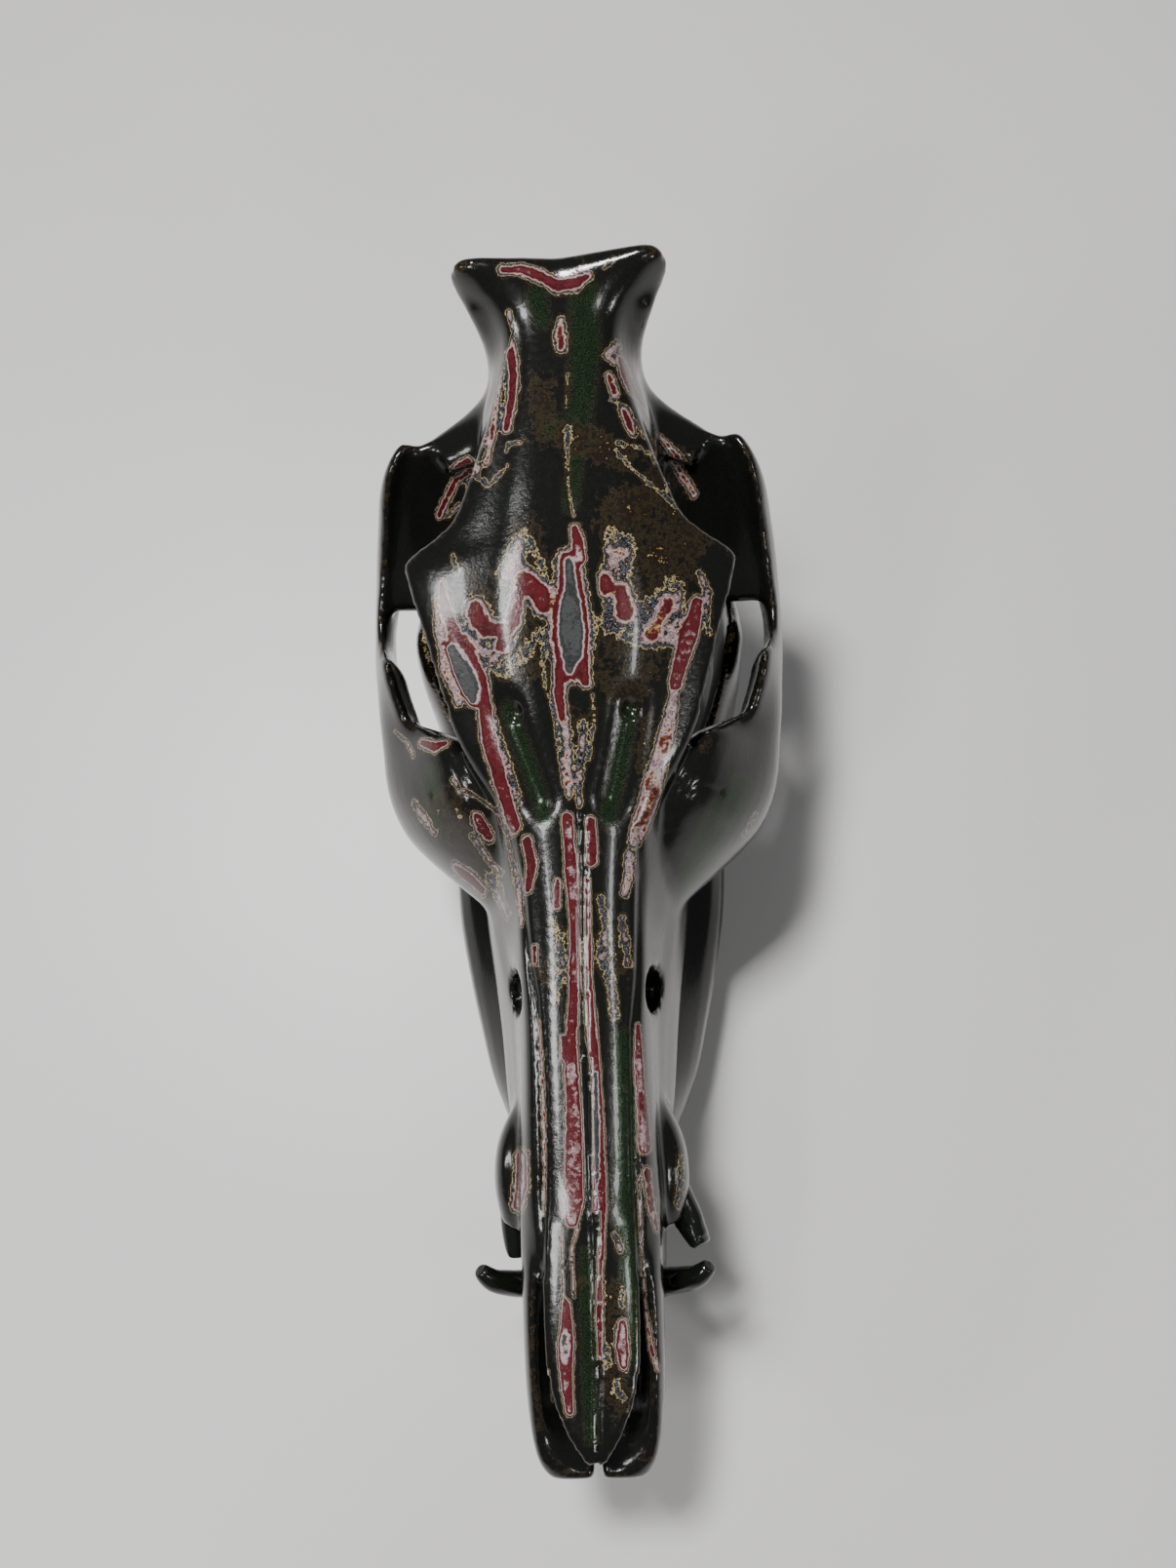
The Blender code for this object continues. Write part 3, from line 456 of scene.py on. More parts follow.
# Layers of coloured lacquer lie over a bumpy ground coat, and rubbing them flat lays the deeper layers bare in rings.
# How far each place is rubbed goes into an attribute: 0 is the untouched top coat, 1 is the slate grey ground. Each
# rubbed place is a path of (x, y, radius) points, the distance over which it fades, and how deep its middle goes. One
# place is not rubbed but a painted highlight: a pale pink stripe on the left temple that stands for a white glint.
RUBBED_AND_PAINTED_GLINT = [
    # Crest and parietal roof
    ([(-15.1, 165.6, 0.25), (-9.8, 165.9, 0.5), (-4.5, 163.9, 0.75), (0, 161.7, 1), (4.9, 162.2, 1),
      (8.4, 163.5, 0.25)], 2.4, 0.74),
    ([(0.5, 153.1, 0.25), (0.1, 149.4, 0.76), (0.2, 146.2, 0.51)], 2.4, 0.68),
    # Left temple
    ([(-14.1, 156.1, 0.25), (-13, 151.9, 0.13), (-13.8, 148.4, 0.13)], 1.6, 0.56),
    ([(-14.2, 146.4, 0.76), (-13.5, 140.7, 0.77), (-14.3, 134, 0.64), (-16, 127.1, 0.39)], 2.4, 0.74),
    # Painted highlight: this pale pink stripe along the left temple's ridge stands for the white glint of the lamps
    # there.
    ([(-17.1, 142.7, 0.39), (-19, 133.2, 0.52), (-20.7, 124.3, 0.52), (-22.3, 119.3, 0.26)], 2.1, 0.62),
    ([(-22.8, 125.1, 0.13), (-30.8, 132.9, 0.28), (-35.8, 130.7, 0.42), (-39.2, 125.9, 0.43),
      (-41.6, 122.1, 0.29)], 1.9, 0.74),
    ([(-25.1, 117.8, 0.52), (-31.9, 130, 0.42)], 1.7, 0.58),
    ([(-16.1, 116.9, 0.05), (-21.7, 112.7, 0.05), (-35.2, 124.7, 0.06), (-39, 122.2, 0.06)], 1.7, 0.54),
    ([(-16.2, 120.7, 0.13), (-15.9, 122.5, 0.26), (-11.4, 122.7, 0.26)], 1.2, 0.47),
    # Seam of the roof
    ([(2.1, 139.7, 0.25), (1.4, 135.8, 0.05), (1, 130.8, 0.05)], 0.8, 0.47),
    ([(1.3, 125.8, 0.21), (0.7, 115.8, 0.13), (1, 109.5, 0.13), (2.2, 103.1, 0.26)], 0.9, 0.5),
    # Right temple, and the crest over it
    ([(16.2, 149.5, 0.13), (12.8, 144.6, 0.38), (14.4, 143.5, 0.26)], 1.6, 0.62),
    ([(13.5, 139.2, 0.51), (14.7, 135.2, 0.51)], 1.8, 0.68),
    ([(17.1, 145.2, 0.51), (18.3, 141.3, 1.03), (20.1, 138.2, 1.04), (21.7, 137.4, 0.39)], 2.5, 0.78),
    ([(17.3, 130.4, 0.26), (18.5, 127.5, 0.65), (19.3, 125.2, 0.26)], 2.5, 0.72),
    ([(13.5, 133, 0.05), (18.4, 131.7, 0.05), (22.5, 124.7, 0.05), (27.9, 131.8, 0.14)], 1.2, 0.47),
    ([(15.4, 121.9, 0.26), (21.1, 121.7, 0.13), (25.7, 119, 0.26)], 1.2, 0.47),
    ([(14.8, 119.6, 0.05), (19.5, 115.2, 0.13), (25.4, 111.3, 0.05), (30.9, 107.9, 0.13)], 1.2, 0.5),
    ([(24.1, 136.1, 0.27), (27.8, 136.7, 0.28), (32.7, 132.5, 0.28), (37.6, 125.7, 0.43)], 1.7, 0.68),
    ([(15.8, 167.6, 0.12), (13.1, 165.2, 0.12)], 1.2, 0.56),
    # Middle of the forehead
    ([(2.3, 99.3, 0.52), (3, 96.5, 0.92), (3.9, 92, 0.53)], 2.1, 0.77),
    ([(0.3, 91.1, 0.13), (0.6, 84.2, 1.06), (0.4, 77.9, 2.4), (0.4, 72.8, 2.68), (0.2, 67.2, 2.16),
      (-0.5, 63.1, 0.54)], 5.5, 1),
    ([(-3.6, 62.7, 0.54), (-3.9, 56.2, 0.82), (-3.3, 50.2, 0.27)], 2.6, 0.76),
    ([(3.4, 63.7, 0.54), (3.8, 59.3, 0.54)], 2.6, 0.76),
    # Left of the forehead
    ([(-13.9, 96.3, 0.53), (-15.8, 91.3, 1.59), (-17.9, 88.4, 1.33)], 3, 0.6),
    ([(-11.8, 86, 1.59), (-8.6, 83.2, 1.86), (-7.6, 79.6, 0.8)], 3.4, 0.77),
    ([(-15.1, 82.1, 1.07), (-16.2, 76, 1.07)], 2.6, 0.77),
    ([(-27.2, 80.2, 1.34), (-26.4, 77.5, 1.35)], 3.9, 0.76),
    ([(-24.2, 74.7, 1.08), (-18.6, 73.5, 1.07), (-19.9, 70.1, 1.35)], 3, 0.72),
    ([(-33.2, 95.7, 0.27), (-32.2, 90.8, 0.27)], 1.7, 0.48),
    ([(-30.1, 73.6, 0.81), (-26.2, 69.8, 0.81), (-22.1, 66.7, 0.27)], 2.6, 0.56),
    ([(-21.9, 64.7, 0.81), (-18.5, 63.3, 0.81), (-13.8, 66.6, 0.54), (-9, 72.5, 0.27)], 2.6, 0.48),
    ([(-11.8, 99.2, 0.13), (-9.2, 94.4, 0.26), (-6.7, 89.5, 0.13), (-5.2, 85.7, 0.27)], 1.7, 0.48),
    # Left stripe, from the eye to the nasal bone
    ([(-37, 88.9, 0.27), (-36.2, 82.2, 1.08), (-34.1, 76, 1.08)], 2.1, 0.75),
    ([(-33.6, 74.8, 0.81), (-29.8, 68.7, 1.09), (-26.7, 61.6, 1.36), (-25.6, 54.2, 1.37), (-25.4, 48.4, 1.38),
      (-24, 41.7, 1.52), (-22.3, 35.1, 1.39), (-20.4, 27.6, 1.12), (-18.6, 21.6, 1.13)], 2.5, 0.77),
    ([(-35, 70.9, 0.82), (-32.4, 64.9, 1.64), (-30, 59.4, 1.64), (-29.3, 56.7, 0.55)], 2.5, 1),
    ([(-39, 84.6, 0.27), (-38.3, 76.1, 0.82), (-36.6, 65.5, 1.1), (-33.5, 56.8, 0.83)], 2.1, 0.63),
    ([(-23.5, 49.5, 0.55), (-21.1, 41.5, 0.83), (-18.8, 34.8, 0.83), (-17.1, 28.1, 0.56)], 2.5, 0.55),
    ([(-15, 17.2, 1.13), (-13.8, 10.3, 1.13), (-15.3, 3.6, 0.57)], 1.8, 0.72),
    # Right of the forehead
    ([(12.9, 96.5, 1.84), (16.2, 95, 1.85), (13.2, 87.8, 3.71), (14, 80.7, 3.74), (17.7, 75.1, 3.22)], 2.5, 0.5),
    ([(11.4, 75.1, 2.14), (18.2, 72.5, 2.69), (29.6, 83.5, 2.68), (27.8, 75.6, 3.24), (23.2, 71.5, 2.7)], 2.6, 0.5),
    ([(10.3, 86, 0.66), (10.6, 84, 0.8)], 2.5, 0.78),
    ([(14.9, 83.2, 0.4), (15.6, 77.6, 1.07)], 3, 0.76),
    ([(13.5, 90.1, 0.4), (15.1, 88.1, 0.4)], 1.7, 0.57),
    ([(11.2, 93.9, 0.26), (16.1, 93, 0.26)], 1.7, 0.6),
    ([(28.2, 80.3, 1.34), (26.1, 76.5, 0.54), (23.2, 72.3, 1.35)], 2.6, 0.68),
    ([(30.6, 75.8, 0.81), (28.8, 71.6, 0.81)], 3, 0.56),
    ([(37.7, 89.5, 0.27), (39.8, 84.6, 0.41), (39.8, 74.2, 0.27)], 2.2, 0.55),
    # Right stripe
    ([(36.6, 81.6, 0.81), (35.4, 76.2, 1.63), (33.5, 70.9, 1.63), (31.4, 65.1, 1.36),
      (29.8, 59.3, 1.1)], 2.1, 0.79),
    ([(29.5, 57.2, 0.82), (27.2, 47.2, 1.66), (24.4, 38, 1.95), (21.9, 30.1, 2.24), (18.6, 21.7, 1.97),
      (16.4, 16.2, 1.13)], 1.8, 0.63),
    ([(15.1, 12.4, 1.13), (14.7, 6.9, 0.85), (13.1, 1.4, 0.57)], 1.8, 0.6),
    # Between the grooves
    ([(-6.8, 73.5, 0.05), (-8, 65.3, 0.13), (-7.7, 58.1, 0.14), (-5.5, 51, 0.14), (-4.7, 42.4, 0.14),
      (-3.4, 31.8, 0.06)], 1.3, 0.48),
    ([(-2.5, 49.1, 0.55), (-2, 40.5, 0.69), (-2.2, 33.8, 0.55), (-2.1, 29.1, 0.28)], 1.8, 0.62),
    ([(2.9, 49, 0.27), (2, 40.4, 0.55), (0.9, 33.8, 0.55), (0.9, 26.3, 0.28)], 1.5, 0.57),
    ([(5.7, 55.9, 0.14), (6, 49.4, 0.27), (4.9, 42.9, 0.14), (3.9, 38.5, 0.14)], 1.3, 0.48),
    # Nasal bones
    ([(-2.9, 22.7, 1.12), (-2.4, 15.2, 1.12), (-2.1, 6.9, 1.41), (-1.9, -4, 0.85), (-2, -15.1, 0.71),
      (-2.6, -26.2, 0.86), (-3.5, -37.3, 1.16), (-3.9, -48.5, 1.45), (-3.7, -62.6, 1.75), (-4.1, -76.7, 2.06),
      (-4.4, -86.5, 2.36), (-5.1, -92.1, 1.48)], 1.7, 0.79),
    ([(-6.4, 4.9, 0.57), (-6.7, -1.7, 0.57)], 1.4, 0.74),
    ([(-6.2, -39.5, 0.58), (-6.1, -45.1, 0.58)], 1.2, 0.72),
    ([(3.8, 21.7, 1.12), (4.2, 17.1, 1.12), (3.7, 10.9, 1.41)], 1.4, 0.72),
    ([(2.4, 5.5, 0.28), (2.3, -6.9, 0.43), (1.9, -20.7, 0.57), (2.1, -31.9, 1.15), (2.4, -40.3, 1.3),
      (3.3, -48.7, 0.87), (4.1, -62.8, 0.73), (4.5, -76.8, 0.44), (4.4, -90.9, 0.44), (3.1, -105, 0.44),
      (2.2, -119, 0.6), (2.1, -131.6, 0.3)], 1.3, 0.76),
    ([(3, -50.1, 0.44), (2.9, -62.7, 0.73), (2.5, -76.8, 0.73), (2.1, -89.5, 0.44)], 0.7, 0.93),
    ([(-8.3, -6.6, 0.57), (-5.8, -10, 0.86), (-6.7, -20.5, 0.57), (-7.9, -28.8, 0.58)], 2.3, 0.45),
    ([(-13.8, -13.1, 0.43), (-14, -17.3, 0.29)], 1.4, 0.7),
    ([(6.2, -0.1, 0.28), (7.4, -7, 0.41), (6.3, -16.6, 0.57), (8.4, -23.6, 0.57), (9.2, -33.4, 0.58)], 2.3, 0.52),
    ([(12.3, -5.5, 0.41), (13.2, -13.8, 0.43), (13.9, -18, 0.29)], 2, 0.53),
    ([(-3.5, -94.7, 0.44), (-5.4, -100.6, 0.15), (-5.3, -107.6, 0.15), (-4.9, -114.6, 0.15)], 0.9, 0.62),
    ([(-8.1, -94.9, 0.15), (-8.4, -104.8, 0.15), (-8.1, -114.6, 0.15)], 0.9, 0.62),
    # Snout
    ([(-7.5, -116, 0.45), (-7.4, -121.6, 1.19), (-7.9, -128.7, 1.79), (-8, -134.3, 1.5), (-7.7, -141.3, 1.05),
      (-7.3, -147.5, 0.6)], 1.8, 0.78),
    ([(-8.1, -125.6, 0.45), (-8.2, -129.5, 0.9), (-8.3, -132.9, 0.3)], 1.2, 0.88),
    ([(9, -122.5, 0.45), (8.8, -129, 1.2), (9.2, -134.6, 0.45)], 1.8, 0.82),
    ([(7.4, -96.6, 0.59), (9, -100.9, 0.59)], 1.5, 0.55),
    ([(9.5, -112.1, 0.3), (8.8, -117.7, 0.3)], 0.9, 0.47),
    ([(4.2, -129.7, 0.75), (4.1, -134.2, 0.9)], 0.9, 0.47),
    ([(6.8, -138.8, 0.45), (7.3, -142.2, 0.3), (8.9, -143.9, 0.3)], 0.9, 0.47),
    ([(14.2, -135.9, 0.15), (13.1, -143.9, 0.15), (10.8, -148.9, 0.15), (8.2, -157, 0.16)], 0.8, 0.56),
    ([(-13.4, -135.9, 0.15), (-13.3, -145.7, 0.15), (-10, -150.5, 0.15)], 0.8, 0.56),
    # Upper lip bones and tusk bulges
    ([(-13.3, -34.1, 0.14), (-12.8, -45.4, 0.29), (-12.7, -59.5, 0.44), (-12.9, -76.5, 0.29),
      (-13.6, -90.6, 0.15)], 0.9, 0.68),
    ([(16, -36.1, 0.29), (15.9, -48.8, 0.88), (16.7, -61.5, 1.18), (17, -71.4, 1.48)], 1.5, 0.77),
    ([(17.6, -78.5, 0.89), (18.5, -88.5, 0.9), (20, -95.7, 0.3)], 1.5, 0.66),
    ([(15, -79.9, 0.15), (15.1, -96.8, 0.15), (15.7, -116.9, 0.3), (17.3, -131.3, 0.61),
      (19.2, -137.1, 0.3)], 1, 0.6),
    ([(-20.5, -73.3, 0.6), (-20.8, -82, 0.9), (-22.4, -87.8, 0.31)], 3.8, 0.9),
    ([(28.4, -74.2, 0.31), (26.5, -88.8, 0.31)], 2.5, 0.5),
    # Cheeks and tear ducts
    ([(-30.1, 25.8, 0.57), (-28.7, 23.4, 1.15), (-26.9, 21.1, 0.43)], 2.3, 0.78),
    ([(-37.2, 36.8, 0.28), (-34.7, 33.8, 0.06), (-29.5, 31.3, 0.14), (-24.2, 26.9, 0.06), (-21.6, 20.8, 0.14),
      (-20.2, 12.9, 0.29)], 1.4, 0.57),
    ([(-32.6, 21.5, 0.06), (-29.4, 17.6, 0.06), (-26.8, 13.7, 0.15), (-23.3, 10.9, 0.06)], 1.4, 0.55),
    ([(-39.8, 15.3, 0.3), (-35.6, 12.2, 0.75), (-31.5, 8.3, 0.6)], 2.2, 0.72),
    ([(-28, 10.2, 0.44), (-25.4, 5.1, 0.59), (-22.9, -1.3, 0.29)], 2.4, 0.58),
    ([(-19.3, 11.3, 0.29), (-18.2, 3, 0.43), (-17.9, -5.5, 0.29)], 1.8, 0.58),
    ([(-47.3, 50.5, 0.29), (-42.7, 47.4, 0.85), (-39.3, 48.1, 0.28)], 2.3, 0.74),
    ([(-57.3, 57.4, 0.15), (-53.1, 52.8, 0.15), (-50.2, 47.2, 0.14)], 1.4, 0.57),
    ([(-50.8, 33.7, 0.29), (-47.7, 28.6, 0.44), (-44.6, 24.1, 0.29)], 1.9, 0.57),
    ([(54.3, 29.3, 0.15), (50.2, 23.1, 0.15)], 1.4, 0.56),
]

# Broad fields where the top coat is rubbed thin and brown, as paths and the distance over which they fade.
BROWN_FIELDS = {
    "forehead_left": ([(-28.8, 87.7, 2.67), (-15.4, 68.2, 6.74), (-10.9, 75.7, 5.36), (-11.2, 99.9, 3.15)], 5.3),
    "forehead_right": ([(16.4, 103.1, 6.56), (30, 96.6, 6.66), (15.1, 62.2, 7.59), (21.2, 80.3, 6.69),
        (31.1, 127.6, 4.27)], 5.2),
    "roof": ([(-5.6, 136, 3.06), (-4.7, 126, 3.09), (16.9, 118.5, 2.6)], 4.1),
    "brow_middle": ([(0.6, 49.6, 3.28), (0, 33.8, 2.22)], 2.7),
    "brow_low_right": ([(21.7, 49.5, 1.37), (18.5, 36.4, 0.83)], 2.2),
    "cheek_left": ([(-42, 30.3, 3.45), (-31.2, 16.7, 2.92), (-23.9, 9, 1.46)], 4),
    "nasal_net": ([(-7.6, -20.5, 3.44), (9.7, -15.3, 4.01)], 4),
    "snout_right": ([(7.6, -110.7, 1.78), (6.4, -133.1, 3.59), (6, -147.2, 2.41)], 2.4),
    "snout_left": ([(-2.5, -110.5, 1.49), (-2.49, -110.49, 1.5)], 1.8),
}

# How far the untouched top coat and the brown fields count as rubbed, and how many rounds of smoothing show what
# stands out and so is rubbed more.
UNTOUCHED = 0.2
THIN_BROWN = 0.325
SMOOTHING_ROUNDS = 14

# Places where green metal flake in the top coat shows, as paths and the distance over which they fade.
GREEN_FIELDS = {
    "parietal": ([(7, 160, 2.5), (7, 148.1, 3.04), (5.5, 135.7, 2.55), (4.1, 125.7, 2.06)], 2.5),
    "crest_left": ([(-6, 159.2, 2), (-4.7, 153.3, 1.26)], 2),
    "seam": ([(-4.2, 124.7, 0.77), (-0.5, 127.9, 0.77), (3.6, 127.5, 0.77), (7.8, 124.2, 0.77),
        (12.1, 120.2, 0.78)], 1.8),
    "brow_middle": ([(3.3, 118.2, 1.04), (1.4, 105.7, 1.04)], 2.1),
    "brow_groove_left": ([(-19, 53.8, 1.09), (-16.2, 45, 1.65), (-12.4, 34.3, 1.66), (-9, 22.4, 1.4)], 1.9),
    "brow_groove_right": ([(16.5, 52.7, 1.09), (14.5, 44.1, 1.65), (11.9, 33.6, 1.66), (8.7, 21.9, 1.4)], 1.9),
    "cheek_right": ([(49.7, 34.6, 2.91), (42.9, 23.6, 4.08), (36.9, 13.7, 4.16), (31.7, 5.4, 2.74)], 2.6),
    "cheek_left": ([(-44.7, 39.1, 1.72), (-42.6, 25.4, 1.74)], 2.9),
    "nasal_right": ([(11.9, -40.4, 2.32), (11.8, -62.9, 2.34), (10.4, -91.1, 2.37), (12.1, -113.6, 1.79),
        (12.7, -133.4, 1.2)], 2),
    "nasal_middle": ([(-1.4, -102.1, 1.19), (-1.4, -133, 1.5), (-1.1, -155.5, 1.21)], 1.5),
}


def fading(flat, path, fall):
    """1 inside the path's radius, and from there down to 0 over the distance `fall`."""
    points = np.array(path, float)
    margin = points[:, 2].max() + fall
    low, high = points[:, :2].min(axis=0) - margin, points[:, :2].max(axis=0) + margin
    near = np.flatnonzero(((flat > low) & (flat < high)).all(axis=1))
    close = flat[near]
    best = np.full(len(near), np.inf)
    for a, b in zip(points, points[1:]):
        line = b[:2] - a[:2]
        t = np.clip(((close - a[:2]) @ line) / (line @ line), 0, 1)
        away = np.hypot(*(close - a[:2] - t[:, None] * line).T)
        best = np.minimum(best, away - (a[2] + (b[2] - a[2]) * t))
    share = np.zeros(len(flat))
    share[near] = np.clip(1 - best / fall, 0, 1)
    return share


def open_to_sky(places, normals, cell=2.0, depth=12.0):
    """1 for places that face up with nothing over them, 0 for those under the roof or facing down."""
    columns = np.floor((places[:, :2] - places[:, :2].min(axis=0)) / cell).astype(int)
    number = columns[:, 0] * (columns[:, 1].max() + 1) + columns[:, 1]
    highest = np.full(number.max() + 1, -np.inf)
    np.maximum.at(highest, number, places[:, 2])
    return np.clip(normals[:, 2] * 4, 0, 1) * (places[:, 2] > highest[number] - depth)


def rubbing(places, normals):
    """How far each place of the roof is rubbed, and more than 0 where it lies on a rubbed place's edge. One of the
    rubbed places is a painted highlight, a pale pink stripe on the left temple.
    """
    flat = places[:, :2]
    upward = open_to_sky(places, normals)
    rubbed = np.full(len(places), UNTOUCHED)
    edge = np.zeros(len(places))
    for path, fall in BROWN_FIELDS.values():
        rubbed = np.maximum(rubbed, UNTOUCHED + (THIN_BROWN - UNTOUCHED) * fading(flat, path, fall) * upward)
    for path, fall, peak in RUBBED_AND_PAINTED_GLINT:
        share = fading(flat, path, fall)
        rubbed = np.maximum(rubbed, rubbed + (peak - rubbed) * share * upward)
        edge = np.maximum(edge, ((share > 0) & (share < 1)) * upward)
    return rubbed, edge


def relaxed(places, ends, times):
    """The places after moving each one, that many times, to the middle of its neighbours."""
    count = np.bincount(ends.ravel(), minlength=len(places)).astype(float)
    count[count == 0] = 1
    flat = places.copy()
    for _ in range(times):
        total = np.zeros_like(flat)
        for k in range(3):
            total[:, k] = np.bincount(ends[:, 0], weights=flat[ends[:, 1], k], minlength=len(places))
            total[:, k] += np.bincount(ends[:, 1], weights=flat[ends[:, 0], k], minlength=len(places))
        flat = total / count[:, None]
    return flat


def proud(places, normals, ends):
    """How far each place stands out over its surroundings, in millimetres, from -0.5 to 1 at most."""
    standing = ((places - relaxed(places, ends, SMOOTHING_ROUNDS)) * normals).sum(axis=1)
    return np.clip(standing, -0.5, 1)


def split_fine(piece, marked):
    """Splits every edge between marked vertices in two, and smooths the finer mesh there."""
    bm = bmesh.new()
    bm.from_mesh(piece.data)
    bm.edges.ensure_lookup_table()
    chosen = [edge for edge in bm.edges if marked[edge.verts[0].index] and marked[edge.verts[1].index]]
    bmesh.ops.subdivide_edges(bm, edges=chosen, cuts=1, use_grid_fill=True)
    bmesh.ops.triangulate(bm, faces=[face for face in bm.faces if len(face.verts) > 4])
    bm.to_mesh(piece.data)
    bm.free()
    places, normals, ends = vertex_table(piece)
    near = rubbing(places, normals)[1] > 0
    places[near] = relaxed(places, ends, times=2)[near]
    set_places(piece, places)


# Thinning spares the roof: it takes only what hardly faces up, or lies below this height.
ROOF_TILT = 0.1
ROOF_HEIGHT = 80

places, normals, ends = vertex_table(skull)
split_fine(skull, rubbing(places, normals)[1] > 0)
places, normals, ends = vertex_table(skull)
below_roof = np.flatnonzero((normals[:, 2] < ROOF_TILT) | (places[:, 2] < ROOF_HEIGHT))
skull.vertex_groups.new(name="below_roof").add(below_roof.tolist(), 1.0, "REPLACE")
thin_to(skull, MOST_TRIANGLES, "below_roof")
skull.vertex_groups.clear()
shade_smooth(skull, SHARP_BONE)


def set_layer(piece, name, values):
    """Keeps one value for each vertex, for the material to read."""
    layer = piece.data.attributes.new(name, "FLOAT", "POINT")
    layer.data.foreach_set("value", values.astype(np.float32))


def lacquer(name):
    """Marbled lacquer, from the attribute rubbed and noise in the piece's own space."""
    coat = bpy.data.materials.new(name)
    coat.use_nodes = True
    tree = coat.node_tree
    shader = tree.nodes["Principled BSDF"]
    where = tree.nodes.new("ShaderNodeTexCoord")
    rubbed = tree.nodes.new("ShaderNodeAttribute")
    rubbed.attribute_name = "rubbed"
    green = tree.nodes.new("ShaderNodeAttribute")
    green.attribute_name = "green"

    def noise(scale, detail, roughness=0.5):
        node = tree.nodes.new("ShaderNodeTexNoise")
        node.inputs["Scale"].default_value = scale
        node.inputs["Detail"].default_value = detail
        node.inputs["Roughness"].default_value = roughness
        tree.links.new(where.outputs["Object"], node.inputs["Vector"])
        return node.outputs["Fac"]

    def work(operation, a, b=None, c=None):
        node = tree.nodes.new("ShaderNodeMath")
        node.operation = operation
        for socket, value in zip(node.inputs, (a, b, c)):
            if value is None:
                continue
            if isinstance(value, (int, float)):
                socket.default_value = value
            else:
                tree.links.new(value, socket)
        return node.outputs[0]

    def node_mix(first, second, share, kind="MULTIPLY"):
        node = tree.nodes.new("ShaderNodeMix")
        node.data_type = "RGBA"
        node.blend_type = kind
        for socket, value in ((node.inputs[0], share), (node.inputs[6], first), (node.inputs[7], second)):
            if isinstance(value, float):
                socket.default_value = value
            elif isinstance(value, tuple):
                socket.default_value = (*value, 1)
            else:
                tree.links.new(value, socket)
        return node.outputs[2]

    def ramp(factor, stops):
        node = tree.nodes.new("ShaderNodeValToRGB")
        bands = node.color_ramp.elements
        while len(bands) < len(stops):
            bands.new(1.0)
        for band, (place, colour) in zip(bands, stops):
            band.position = place
            band.color = (*colour, 1)
        tree.links.new(factor, node.inputs["Fac"])
        return node.outputs["Color"]

    broad = noise(scale=150, detail=3)
    fine = noise(scale=620, detail=3, roughness=0.6)
    grain = noise(scale=1900, detail=2, roughness=0.6)
    flake = noise(scale=4200, detail=1)
    sway = work("MULTIPLY", work("SUBTRACT", broad, 0.5), BROAD_SWAY)
    sway = work("MULTIPLY_ADD", work("SUBTRACT", fine, 0.5), FINE_SWAY, sway)
    sway = work("MULTIPLY_ADD", work("SUBTRACT", grain, 0.5), GRAIN_SWAY, sway)
    calm = ramp(rubbed.outputs["Fac"], CALM)
    depth = work("MULTIPLY_ADD", sway, calm, rubbed.outputs["Fac"])
    layers = ramp(depth, LAYERS)
    mottle = node_mix(layers, ramp(grain, MOTTLE), 0.5)
    top_coat = work("LESS_THAN", depth, TOP_COAT)
    glitter = work("MULTIPLY", work("GREATER_THAN", flake, SPARSE), top_coat)
    hue = node_mix(GOLD_FLAKE, GREEN_FLAKE, green.outputs["Fac"], "MIX")
    much = work("MULTIPLY", glitter, work("MULTIPLY_ADD", green.outputs["Fac"], GREEN_SHARE, GOLD_SHARE))
    tree.links.new(node_mix(mottle, hue, much, "MIX"), shader.inputs["Base Color"])
    tree.links.new(work("MULTIPLY", much, FLAKE_METAL), shader.inputs["Metallic"])
    tree.links.new(work("MULTIPLY_ADD", fine, 0.2, 0.06), shader.inputs["Roughness"])
    bump = tree.nodes.new("ShaderNodeBump")
    bump.inputs["Strength"].default_value = 0.28
    bump.inputs["Distance"].default_value = 0.00025
    height = work("ADD", work("MULTIPLY", grain, 0.5), work("MULTIPLY", fine, 0.9))
    tree.links.new(height, bump.inputs["Height"])
    tree.links.new(bump.outputs["Normal"], shader.inputs["Normal"])
    shader.inputs["Specular IOR Level"].default_value = 0.33
    shader.inputs["Coat Weight"].default_value = 0.22
    shader.inputs["Coat Roughness"].default_value = 0.06
    return coat


# The layers, by how deep they lie, then how far noise moves each place through them, and how much calmer that is in
# the top coat, the brown fields and the deepest places.
BLACK = (0.004, 0.0045, 0.004)
GREEN_BLACK = (0.005, 0.007, 0.005)
GREEN_FLAKE = (0.038, 0.090, 0.024)
GOLD_FLAKE = (0.16, 0.12, 0.08)
BROWN = (0.013, 0.009, 0.006)
OLIVE = (0.030, 0.023, 0.011)
CREAM = (0.34, 0.29, 0.175)
TAN = (0.16, 0.085, 0.055)
PALE_PINK = (0.38, 0.29, 0.295)
OCHRE = (0.22, 0.12, 0.02)
CRIMSON = (0.088, 0.011, 0.015)
DARK_RED = (0.045, 0.006, 0.008)
SLATE = (0.055, 0.059, 0.057)
DARK_SLATE = (0.022, 0.025, 0.024)
PALE_BLUE = (0.20, 0.23, 0.27)
LAYERS = [
    (0.00, GREEN_BLACK), (0.29, BLACK), (0.31, BROWN), (0.335, OLIVE), (0.355, BROWN), (0.405, BROWN), (0.415, OCHRE),
    (0.425, CREAM), (0.445, CREAM), (0.455, BLACK), (0.495, BLACK), (0.502, PALE_BLUE), (0.51, BLACK), (0.54, BLACK),
    (0.55, TAN), (0.56, BLACK), (0.575, PALE_PINK), (0.60, DARK_RED), (0.61, PALE_PINK), (0.635, PALE_PINK),
    (0.65, OCHRE), (0.665, CRIMSON), (0.72, DARK_RED), (0.75, CRIMSON), (0.80, CRIMSON), (0.85, PALE_PINK),
    (0.885, PALE_PINK), (0.90, BLACK), (0.915, SLATE), (0.96, DARK_SLATE), (1.0, SLATE),
]
BROAD_SWAY = 0.42
FINE_SWAY = 0.46
